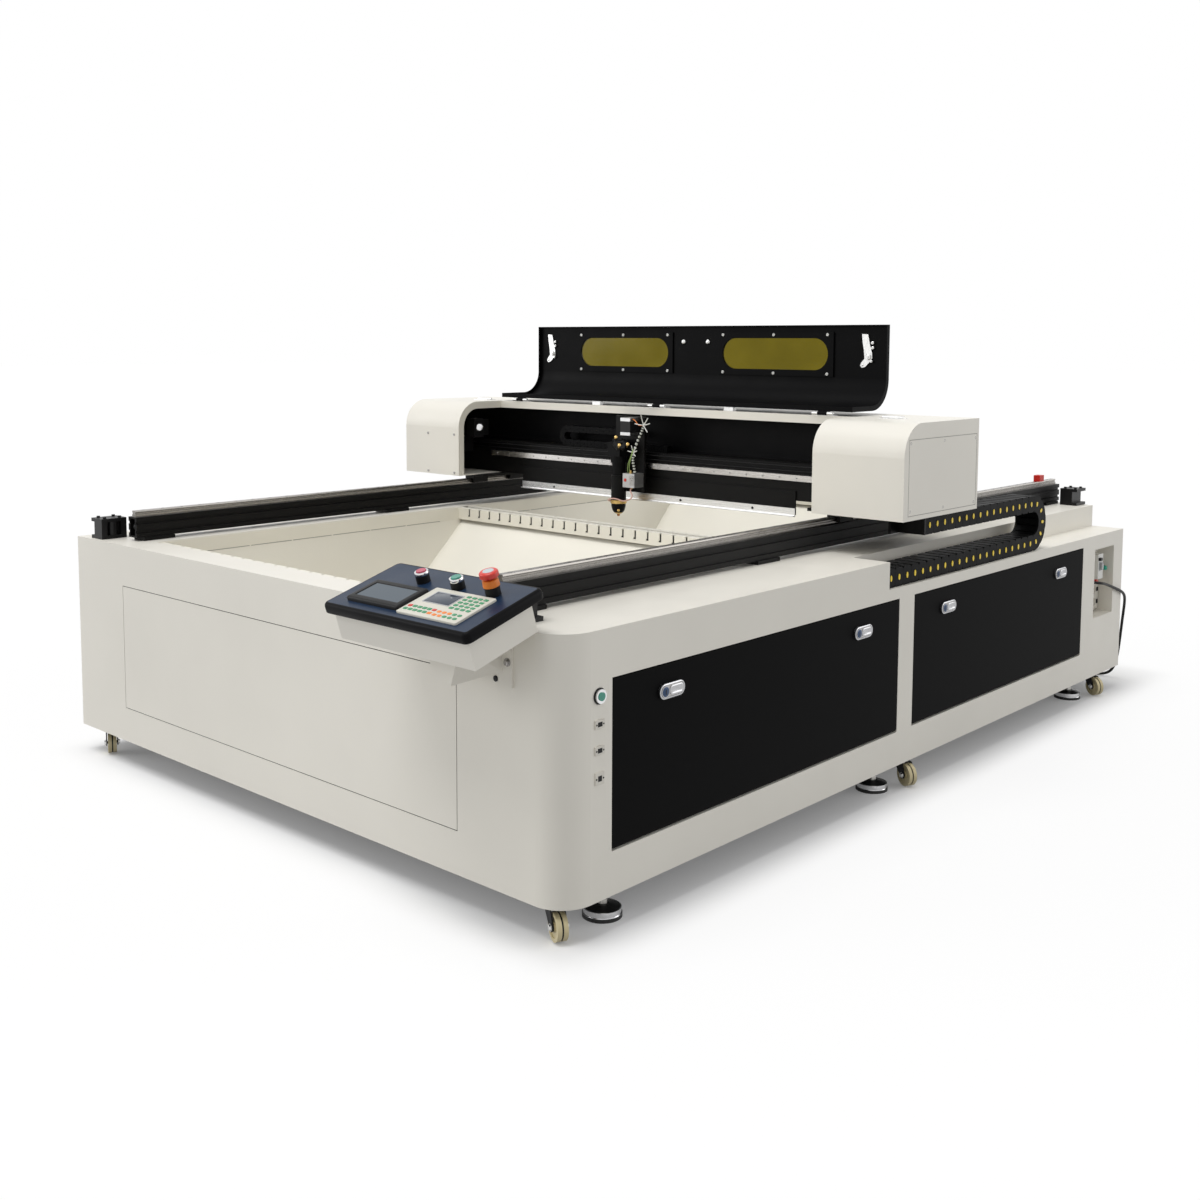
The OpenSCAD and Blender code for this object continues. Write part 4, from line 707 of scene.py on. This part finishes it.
def onConsole(u, v, w):
    tilt = math.radians(console["tilt"])
    y = -console["reach"] + v * math.cos(tilt) - w * math.sin(tilt)
    return at(console["x"] + u, y, console["z"] + v * math.sin(tilt) + w * math.cos(tilt))


consoleUp = (onConsole(0, 0, 1) - onConsole(0, 0, 0)).normalized()


def addConsole():
    bm = bmesh.new()
    layers = [(5, -console["thick"]), (1.5, -23), (0, -20.5), (0, -8), (1.4, -3.4), (4, -0.9), (7, 0),
              (8.5, 0)]
    addLayers(bm, (0, 0), (console["wide"], console["deep"]), console["corner"], layers, onConsole,
              [0] * 7 + [1])
    top = newPiece("consoleTop", bm, lipRubber, navyPaint)
    top.data.polygons[-1].material_index = 1
    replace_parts(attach(top, "machine"), "console_plate")

    bm = bmesh.new()
    u0, v0, u1, v1 = console["screen"]
    layers = [(0, 0), (0, 6), (1, 8.2), (3, 9.6), (5, 10), (14, 10), (15.5, 8.6), (16.5, 8.6)]
    addLayers(bm, (u0, v0), (u1, v1), 5, layers, onConsole, [0] * 7 + [1])
    bezel = newPiece("screenBezel", bm, blackPlastic, screenGlass)
    bezel.data.polygons[-1].material_index = 1
    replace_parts(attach(bezel, "machine"), "touch_screen")

    bm = bmesh.new()
    u0, v0, u1, v1 = console["keypad"]
    addLayers(bm, (u0, v0), (u1, v1), 4, [(0, 0), (0, 3.4), (0.6, 4.5), (1.8, 5)], onConsole, [0])
    d0, e0, d1, e1 = console["display"]
    addLayers(bm, (d0, e0), (d1, e1), 2, [(0, 4.9), (0, 5.6), (2, 5.9), (3, 5.4)], onConsole, [4, 4, 4, 3])
    addLayers(bm, (d0 + 4, e0 + 4), (d1 - 4, e1 - 4), 1, [(0, 5.2), (0, 5.5), (0.2, 5.6)], onConsole, [3])
    rise = [(0, 4.9), (0, 5.8), (0.7, 6.2)]
    for keys in console["keys"]:
        columns, rows = keys["grid"]
        for i, j in ((i, j) for j in range(rows) for i in range(columns)):
            u, v = (a + s + n * d for a, s, n, d in zip((u0, v0), keys["start"], (i, j), keys["step"]))
            tone = 2 if (i, j) in keys.get("red", ()) else 5 if (i, j) in keys.get("orange", ()) else 1
            wide, tall = keys["size"]
            addLayers(bm, (u, v), (u + wide, v + tall), keys["round"], rise, onConsole, [tone])
    pad = newPiece("keypadUnit", bm, keypadPlastic, keyGreen, signalRed, displayGlass, greyPaint,
                   signalOrange)
    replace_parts(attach(pad, "machine"), "keypad")

    bm = bmesh.new()
    for u in console["buttons"][:2]:
        spot = onConsole(u, console["buttonV"], 0)
        addTurned(bm, spot, consoleUp, [(15.3, 17), (15.6, 18), (15.6, 23), (15, 24.4), (12.6, 25),
                                        (11.6, 24.6), (11.5, 18)], 0, 32)
    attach(newPiece("lampRings", bm, chromed), "machine")
    bm = bmesh.new()
    spot = onConsole(console["buttons"][2], console["buttonV"], 0)
    addTurned(bm, spot, consoleUp, [(16.2, 19.5), (17.6, 20.5), (17.5, 26), (16.6, 34.6), (15.5, 35.3),
                                    (9, 35.3), (9, 30)], 0, 32)
    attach(newPiece("stopCollar", bm, signalOrange), "machine")
    bm = bmesh.new()
    addTurned(bm, spot, consoleUp, [(11.5, 52.5), (11.5, 53.3), (10, 53.6), (7.4, 53.6), (7, 53.2),
                                    (0, 53.2)], 0, 32)
    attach(newPiece("stopMark", bm, palePlastic), "estop")
    bm = bmesh.new()
    for x, z in console["bolts"]:
        addTurned(bm, at(x, console["plate"], z), (0, -1, 0),
                  [(9, 0), (9, 1.6), (6, 1.7), (6, 6), (5, 7), (0, 7)], 0, 24)
    # black dishes on the bracket plate: painted shade of its open holes
    for x, z in console["holeShades"]:
        addTurned(bm, at(x, console["plate"], z), (0, -1, 0),
                  [(6.5, 0), (6.5, 1.5), (5, 2.5), (2, 2.6), (0, 1)], 1, 24)
    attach(newPiece("bracketBolts", bm, screwSteel, frameBlack), "machine")


addConsole()
print("console ready")

# gantry: cover screws, side panel seams, strip screws and the mirror mount in the left box
cover = {"front": 1283, "side": 1031, "sunk": 2.3,
         "frontScrews": ((-907, 905), (-766, 905), (-907, 768), (-766, 768)),
         "sideScrews": ((1317, 968), (1504, 967), (1687, 965), (1319, 783), (1503, 781), (1685, 780)),
         "panel": ((1308, 770), (1697, 978)), "seam": 1.8, "stripScrews": (-451, -166, 119, 404),
         "strip": (1471, 727), "rail": (1460, 831), "railScrews": 24, "railStart": -730, "railStep": 62,
         "mirror": (-764, 1402, 926)}


def addCoverDetail():
    bm = bmesh.new()
    for x, z in cover["frontScrews"]:
        addScrew(bm, at(x, cover["front"], z), (0, -1, 0), 4.5)
    for side in (-1, 1):
        for y, z in cover["sideScrews"]:
            addScrew(bm, at(side * (cover["side"] - cover["sunk"]), y, z), (side, 0, 0), 4.8)
    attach(newPiece("coverScrews", bm, screwSteel), "gantry")
    bm = bmesh.new()
    for side in (-1, 1):
        inner, outer = sorted((side * (cover["side"] - 1), side * (cover["side"] + 0.25)))
        for a, b in edgeStrips(*cover["panel"], cover["seam"]):
            addBlock(bm, (inner, *a), (outer, *b))
    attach(newPiece("coverSeams", bm, seamTone), "gantry")
    bm = bmesh.new()
    for x in cover["stripScrews"]:
        addScrew(bm, at(x, *cover["strip"]), (0, -1, 0), 4)
    for i in range(cover["railScrews"]):
        addScrew(bm, at(cover["railStart"] + i * cover["railStep"], *cover["rail"]), (0, -1, 0), 3, 1)
    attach(newPiece("stripScrews", bm, frameBlack, screwSteel), "gantry")
    bm = bmesh.new()
    addBlock(bm, (-806, 1380, 890), (-764, 1424, 958))
    for tone, profile in ((0, [(17, -12), (17, 5), (14, 6), (13, 4.5), (0, 4.5)]),
                          (1, [(12.5, 4), (12.5, 5.2), (11.5, 5.4), (0, 5.4)])):
        addTurned(bm, at(*cover["mirror"]), (1, -0.5, 0.1), profile, tone, 28)
    addBlock(bm, (-800, 1424, 894), (-786, 1470, 952))
    mirror = softEdges(newPiece("sideMirror", bm, blackPlastic, chromed), 1.5)
    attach(mirror, "gantry")


addCoverDetail()

# lid: frame screws, pull handle and toggle stays
lidFit = {"face": 1689, "inner": 1694, "outer": 1697, "middles": (-322, 322), "across": (-203, 0, 203),
          "levels": (1261, 1138), "grip": 52, "gripZ": 1237, "stays": (0, -1344), "leverT": 3.5,
          "lever": ((647, 1263), (668, 1262), (675, 1232), (683, 1205), (684, 1190), (675, 1178),
                    (660, 1163), (648, 1160), (642, 1167), (646, 1176), (657, 1188), (655, 1212),
                    (650, 1236)),
          "bosses": ((670, 1193, 9, 9), (685, 1236, 5, 7), (686, 1221, 5, 7), (682, 1180, 4.5, 8),
                     (650, 1168, 3.5, 6))}


def addLidDetail():
    bm = bmesh.new()
    for middle in lidFit["middles"]:
        for dx in lidFit["across"]:
            for z in lidFit["levels"]:
                addScrew(bm, at(middle + dx, lidFit["face"], z), (0, -1, 0), 5)
    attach(newPiece("frameScrews", bm, whitePlastic), "lid")

    bm = bmesh.new()
    for shift in lidFit["stays"]:
        outline = [(x + shift, z) for x, z in lidFit["lever"]]
        addPrism(bm, outline, upright, lidFit["inner"], lidFit["inner"] - lidFit["leverT"])
        for x, z, r, h in lidFit["bosses"]:
            addTurned(bm, at(x + shift, lidFit["inner"], z), (0, -1, 0),
                      [(r, 0), (r, h - 1), (r - 1, h), (r * 0.5, h), (r * 0.45, h + 2), (0, h + 2)], 0, 20)
    for side in (-1, 1):
        x = side * lidFit["grip"]
        addTurned(bm, at(x, lidFit["inner"], lidFit["gripZ"]), (0, -1, 0),
                  [(9, 0), (9, 1.5), (7.5, 4), (4, 5.6), (0, 6)], 0, 24)
        addTurned(bm, at(x, lidFit["outer"], lidFit["gripZ"]), (0, 1, 0),
                  [(8, 0), (6, 3), (5.6, 24)], 0, 20)
    stays = newPiece("lidFittings", bm, zinc)
    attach(stays, "lid")
    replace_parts(stays, "lid_fittings")
    bm = bmesh.new()
    layers = [(3, 1718.4), (0.8, 1719.2), (0, 1721.5), (0, 1726), (0.8, 1728.4), (3, 1729)]
    addLayers(bm, (-66, 1230), (66, 1244), 6.5, layers, upright, [0])
    grip = newPiece("lidGrip", bm, frameBlack)
    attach(grip, "lid")
    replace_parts(grip, "lid_fittings")


addLidDetail()

# laser head: mirror mount, loom, air hose, valve and the lens barrel's screw
headFit = {"plate": (-70, 1388, 905), "facing": (0.62, -0.5, 0.6),
           "knobs": ((-86, 1384, 921), (-60, 1372, 897), (-40, 1390, 900)),
           "loom": ((24, 1403, 976), (20, 1401, 964), (11, 1399, 942), (-4, 1396, 910), (-15, 1393, 876),
                    (-18, 1393, 850), (-16, 1398, 824), (-16, 1402, 798)),
           "wires": ((-37, 1404, 806), (-38, 1399, 822), (-33, 1394, 842), (-21, 1389, 864),
                     (-12, 1388, 890)),
           "motorWire": ((-28, 1403, 986), (-16, 1401, 981), (0, 1399, 968), (18, 1398, 968)),
           "wrap": 5, "wireGap": -0.01, "ties": ((22, 1398, 969, 0.032), (-16, 1391, 880, 0.02)),
           "hose": ((-30, 1402, 764), (-28, 1393, 752), (-13, 1384, 738), (-17, 1379, 727),
                    (-42, 1374, 719), (-68, 1370, 724), (-94, 1371, 723), (-114, 1380, 716),
                    (-122, 1398, 711), (-115, 1415, 709)),
           "hoseBlend": ((-30, 1402, 762), (-62, 1373, 727)),
           "lamp": (-50, 1392, 786), "inlet": (-36, 1404, 806), "outlet": (-30, 1402, 763),
           "barrel": (-90, 1405, 0), "screwOut": (0.66, -0.75, 0), "barrelR": 0.0195, "screwZ": 0.0215}


def addHeadDetail():
    facing = Vector(headFit["facing"]).normalized()
    bm = bmesh.new()
    addTurned(bm, at(*headFit["plate"]), facing, [(19, -16), (23, -12), (23, 0), (22, 1.5), (0, 1.5)], 0, 6)
    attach(newPiece("mirrorMount", bm, blackPlastic), "laser_head")
    bm = bmesh.new()
    for spot in headFit["knobs"]:
        addTurned(bm, at(*spot), facing, [(2.5, -12), (2.5, 2), (5, 2.2), (5.4, 3), (5.4, 9), (4.8, 10),
                                          (3, 10.3), (2.6, 9.4), (0, 9.4)], 0, 18)
    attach(newPiece("mirrorKnobs", bm, brass), "laser_head")

    bm = bmesh.new()
    line = smoothLine([at(*p) for p in headFit["loom"]], 14)
    addTube(bm, line, lambda i: 2.9, 3, 8)
    for start in range(2, len(line) - 8, headFit["wrap"]):
        addTube(bm, line[start:start + 4], lambda i: (3, 4.6, 4.6, 3)[i], 0, 10)
    wires = smoothLine([at(*p) for p in headFit["wires"]], 8)
    for dx in (0, headFit["wireGap"]):
        apart = [p + Vector((dx * (1 - i / len(wires)), 0, 0)) for i, p in enumerate(wires)]
        addTube(bm, apart, lambda i: 1.3, 1, 6)
    addTube(bm, smoothLine([at(*p) for p in headFit["motorWire"]], 6), lambda i: 1.3, 4, 6)
    for x, y, z, reach in headFit["ties"]:
        knot = at(x, y, z)
        for turned in (-48, 8, 42, 102, 178):
            turn = math.radians(turned)
            tail = Vector((math.cos(turn), -0.2, math.sin(turn))) * reach
            addTube(bm, [knot, knot + tail * 0.5, knot + tail + Vector((0, 0, 0.002))], lambda i: 1.5, 2, 5)
    loom = newPiece("headLoom", bm, wrapPlastic, wireGreen, whitePlastic, blackPlastic, signalOrange)
    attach(loom, "laser_head")

    bm = bmesh.new()
    line = smoothLine([at(*p) for p in headFit["hose"]], 8)
    addTube(bm, line, lambda i: 2.2, 0, 10)
    hose = newPiece("airHose", bm, hosePink)
    start, end = (at(*p) for p in headFit["hoseBlend"])
    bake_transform(hose)

    bm = bmesh.new()
    addTurned(bm, at(*headFit["lamp"]), (0, -1, 0), [(5.5, 0), (5.5, 1), (4.5, 1.8), (0, 1.8)], 0, 20)
    addTurned(bm, at(*headFit["inlet"]), (0, 0, 1),
              [(5, 0), (5, 8), (3.4, 9), (3.4, 12), (0, 12)], 1, 16)
    addTurned(bm, at(*headFit["outlet"]), (0, 0, -1), [(4, 0), (4, 5), (2.8, 6), (0, 6)], 1, 16)
    addBlock(bm, (-33, 1391, 770), (-15, 1392.2, 802), 2)
    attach(newPiece("valveFittings", bm, signalRed, brass, screwSteel), "laser_head")

    bm = bmesh.new()
    out = Vector(headFit["screwOut"])
    seat = at(*headFit["barrel"]) + out * headFit["barrelR"]
    seat.z = headLow + headFit["screwZ"]
    addTurned(bm, seat, out, [(4.6, -2), (4.6, 3), (3.8, 4), (1.6, 4), (1.2, 3), (0, 3)], 0, 18)
    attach(newPiece("lensScrew", bm, brass), "lens_barrel")


addHeadDetail()
print("gantry, lid and head detail ready")

# doors: paddle and key disc on each lock
lockFit = {"x": 1014, "z": 484, "front": (335, 1125), "rear": (1588, 2359), "disc": -26}


def addLocks(name, body, spots):
    bm = bmesh.new()
    for y in spots:
        def place(a, b, depth, y=y):
            return at(lockFit["x"] + depth, y + a, lockFit["z"] + b)

        addLayers(bm, (-42.6, -16.6), (42.6, 16.6), 16.4,
                  [(0, -1), (0, 0.6), (1.4, 1.6), (3, 1.6), (4, 0.2)], place, [0, 0, 0, 0, 3])
        addLayers(bm, (-10, -10.5), (37, 10.5), 9,
                  [(0, -0.5), (0, 1.6), (1.4, 2.4), (3, 2.5), (4.2, 1.7)], place, [0])
        addTurned(bm, place(lockFit["disc"], 0, 2.8), (1, 0, 0),
                  [(11, 0), (11, 0.5), (10, 0.9), (0, 0.9)], 1, 24)
        addBlock(bm, (lockFit["disc"] - 1.2, -6, 3.4), (lockFit["disc"] + 1.2, 6, 4), 2, place)
    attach(newPiece(name, bm, lockSteel, keyBlue, blackPlastic, screwSteel), body)


addLocks("frontLocks", "front_door", lockFit["front"])
addLocks("rearLocks", "rear_door", lockFit["rear"])

# side sockets and the mains recess
portFit = {"x": 1008, "y": 105, "levels": (514, 455, 400, 341)}
mainsFit = {"x": 950, "breaker": (2722, 2766, 412, 500), "knob": (2798, 448), "lamp": (2757, 401),
            "outlet": (2740, 2814, 296, 388)}


def addSidePorts():
    bm = bmesh.new()
    x, y = portFit["x"], portFit["y"]
    addTurned(bm, at(x, y, portFit["levels"][0]), (1, 0, 0),
              [(17.5, 0.1), (17.5, 1.6), (15.4, 2.2), (15.2, 0.2)], 0, 32)
    for z in portFit["levels"][1:]:
        half = 6.8 if z > 350 else 5.8
        tall = 4.8 if z > 350 else 5.8
        addBlock(bm, (x - 9, y - half, z - tall), (x + 3.1, y + half, z + tall))
        for side in (-1, 1):
            addScrew(bm, at(x + 2.8, y + side * 10.5, z), (1, 0, 0), 1.9)
    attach(newPiece("sideSockets", bm, blackPlastic), "machine")


def addMains():
    x = mainsFit["x"]
    y0, y1, z0, z1 = mainsFit["breaker"]
    bm = bmesh.new()
    addLayers(bm, (y0, z0), (y1, z1), 2, [(-0.3, 0), (-0.3, 41), (1, 42.4), (4, 42.5)],
              lambda y, z, d: at(x + d, y, z), [0])
    addBlock(bm, (x + 42, y0 + 9, z0 + 30), (x + 44, y1 - 9, z0 + 60), 5)
    addBlock(bm, (x + 42, y0 + 13.6, z0 + 33.6), (x + 50.4, y0 + 30.4, z0 + 56.4), 5)
    addBlock(bm, (x + 42, y0 + 2, z0 + 66), (x + 51, y0 + 18, z0 + 76), 1)
    ky, kz = mainsFit["knob"]
    addTurned(bm, at(x, ky, kz), (1, 0, 0),
              [(17, 0.2), (17, 3), (13.4, 3.4), (13.4, 25), (12.4, 26.6), (0, 26.6)], 5, 24)
    addTurned(bm, at(x + 26, ky, kz - 4), (1, 0, 0),
              [(7, 0), (8, 3), (8, 14), (6.6, 16.4), (0, 16.6)], 2, 24)
    ly, lz = mainsFit["lamp"]
    addTurned(bm, at(x, ly, lz), (1, 0, 0), [(10, 0), (10, 14), (8.8, 15), (0, 15)], 3, 24)
    addTurned(bm, at(x + 14, ly, lz), (1, 0, 0), [(8.4, 0), (9.4, 3), (9.4, 10), (7, 14), (0, 15)], 4, 24)
    y0, y1, z0, z1 = mainsFit["outlet"]
    for z in (z0 + 24, z0 + 68):
        middle = (y0 + y1) / 2
        for dy, dz in ((-7, 0), (7, 0), (0, -8)):
            low = (x + 4.5, middle + dy - 1.6, z + dz - 4)
            addBlock(bm, low, (low[0] + 1.1, low[1] + 3.2, low[2] + 8), 1)
        addBlock(bm, (x + 8, y1 - 17, z - 7), (x + 11.5, y1 - 6, z + 7), 1)
    fittings = newPiece("mainsFittings", bm, whitePlastic, blackPlastic, tealPlastic, signalYellow,
                        signalRed, greyPaint)
    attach(fittings, "machine")


addSidePorts()
addMains()

# running gear: wheel grooves and axle nuts
gear = {"places": {"front": (932, 50), "mid": (972, 1412), "rear": (972, 2730)}, "trail": 28, "axle": 33,
        "turn": -26}


def addGear():
    turn = math.radians(gear["turn"])
    axle = Vector((-math.sin(turn), math.cos(turn), 0))
    for end, (x, y) in gear["places"].items():
        for hand, sign in (("right", 1), ("left", -1)):
            hub = at(sign * x, y, gear["axle"])
            hub += Vector((math.cos(turn), math.sin(turn), 0)) * gear["trail"] / 1000
            bm = bmesh.new()
            addTurned(bm, hub, axle, [(26.5, -1.7), (29.8, -1.7), (29.8, 1.7), (26.5, 1.7)], 0, 48)
            label = end.capitalize() + hand.capitalize()
            groove = newPiece(f"wheelGroove{label}", bm, frameBlack)
            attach(groove, f"wheel_{end}_{hand}")
            bm = bmesh.new()
            for face in (-1, 1):
                addTurned(bm, hub + axle * (face * 0.017), axle * face,
                          [(9, 0), (9, 1), (6.6, 1.1), (6.4, 4.6), (5.4, 5.4), (0, 5.4)], 0, 6)
            nuts = newPiece(f"axleNuts{label}", bm, zinc)
            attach(nuts, f"caster_{end}_{hand}")


addGear()

# guide rails: screw wells along the top
rails = {"xs": (-800, 750), "start": 100, "stop": 2850, "step": 62, "top": 739}


def addRailWells():
    bm = bmesh.new()
    for x in rails["xs"]:
        for k in range(int((rails["stop"] - rails["start"]) / rails["step"]) + 1):
            addTurned(bm, at(x, rails["start"] + k * rails["step"], rails["top"] - 2), (0, 0, 1),
                      [(4.6, 0), (4.6, 2.15), (3.6, 2.2), (3.4, 1.5), (0, 1.5)], 0, 12)
    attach(newPiece("railWells", bm, frameBlack), "machine")


addRailWells()

# bed: dark bars behind the comb slots as painted shade in the slots, fold lines of the hopper necks, and a
# dark strip in the front panel's gap as painted shade in the gap
bed = {"x0": -725, "x1": 675, "shadeBars": (117, 1268.5, 1329, 2480.5), "bar": 2.5, "shadeBarZ": (612, 644.5),
       "folds": ((106, 1282), (1318, 2494)), "foldZ": 606, "dash": 148,
       "dashGap": 6, "panel": ((-746, 176), (689, 534)), "gap": 2, "gapShadeDepth": (1.2, 2.9)}


def addBedDetail():
    # dark bars behind the comb slots: painted shade, so that the slots read dark
    bm = bmesh.new()
    for y in bed["shadeBars"]:
        addBlock(bm, (bed["x0"] + 3, y, bed["shadeBarZ"][0]), (bed["x1"] - 3, y + bed["bar"], bed["shadeBarZ"][1]))
    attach(newPiece("slotShadeBars", bm, frameBlack), "machine")
    bm = bmesh.new()
    for y0, y1 in bed["folds"]:
        pitch = bed["dash"] + bed["dashGap"]
        for k in range(int((y1 - y0) / pitch)):
            y = y0 + k * pitch
            low = (bed["x0"] - 0.2, y, bed["foldZ"])
            addBlock(bm, low, (low[0] + 0.7, y + bed["dash"], low[2] + 2))
    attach(newPiece("neckFolds", bm, seamTone), "machine")
    # a dark strip set in the front panel's gap: painted shade in the gap
    bm = bmesh.new()
    front, back = bed["gapShadeDepth"]
    for a, b in edgeStrips(*bed["panel"], bed["gap"]):
        addBlock(bm, (a[0], front, a[1]), (b[0], back, b[1]))
    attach(newPiece("panelGapShade", bm, lipRubber), "machine")


addBedDetail()
print("doors, sockets, running gear, rails and bed ready")

for name, width in (("console_tub", 3), ("console_bracket", 1.5), ("gantry_cover", 1.2), ("lid_shell", 0.8),
                    ("cabinet_shell", 1.0), ("front_panel", 0.8), ("front_door", 1.0), ("rear_door", 1.0)):
    softEdges(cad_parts[name], width)
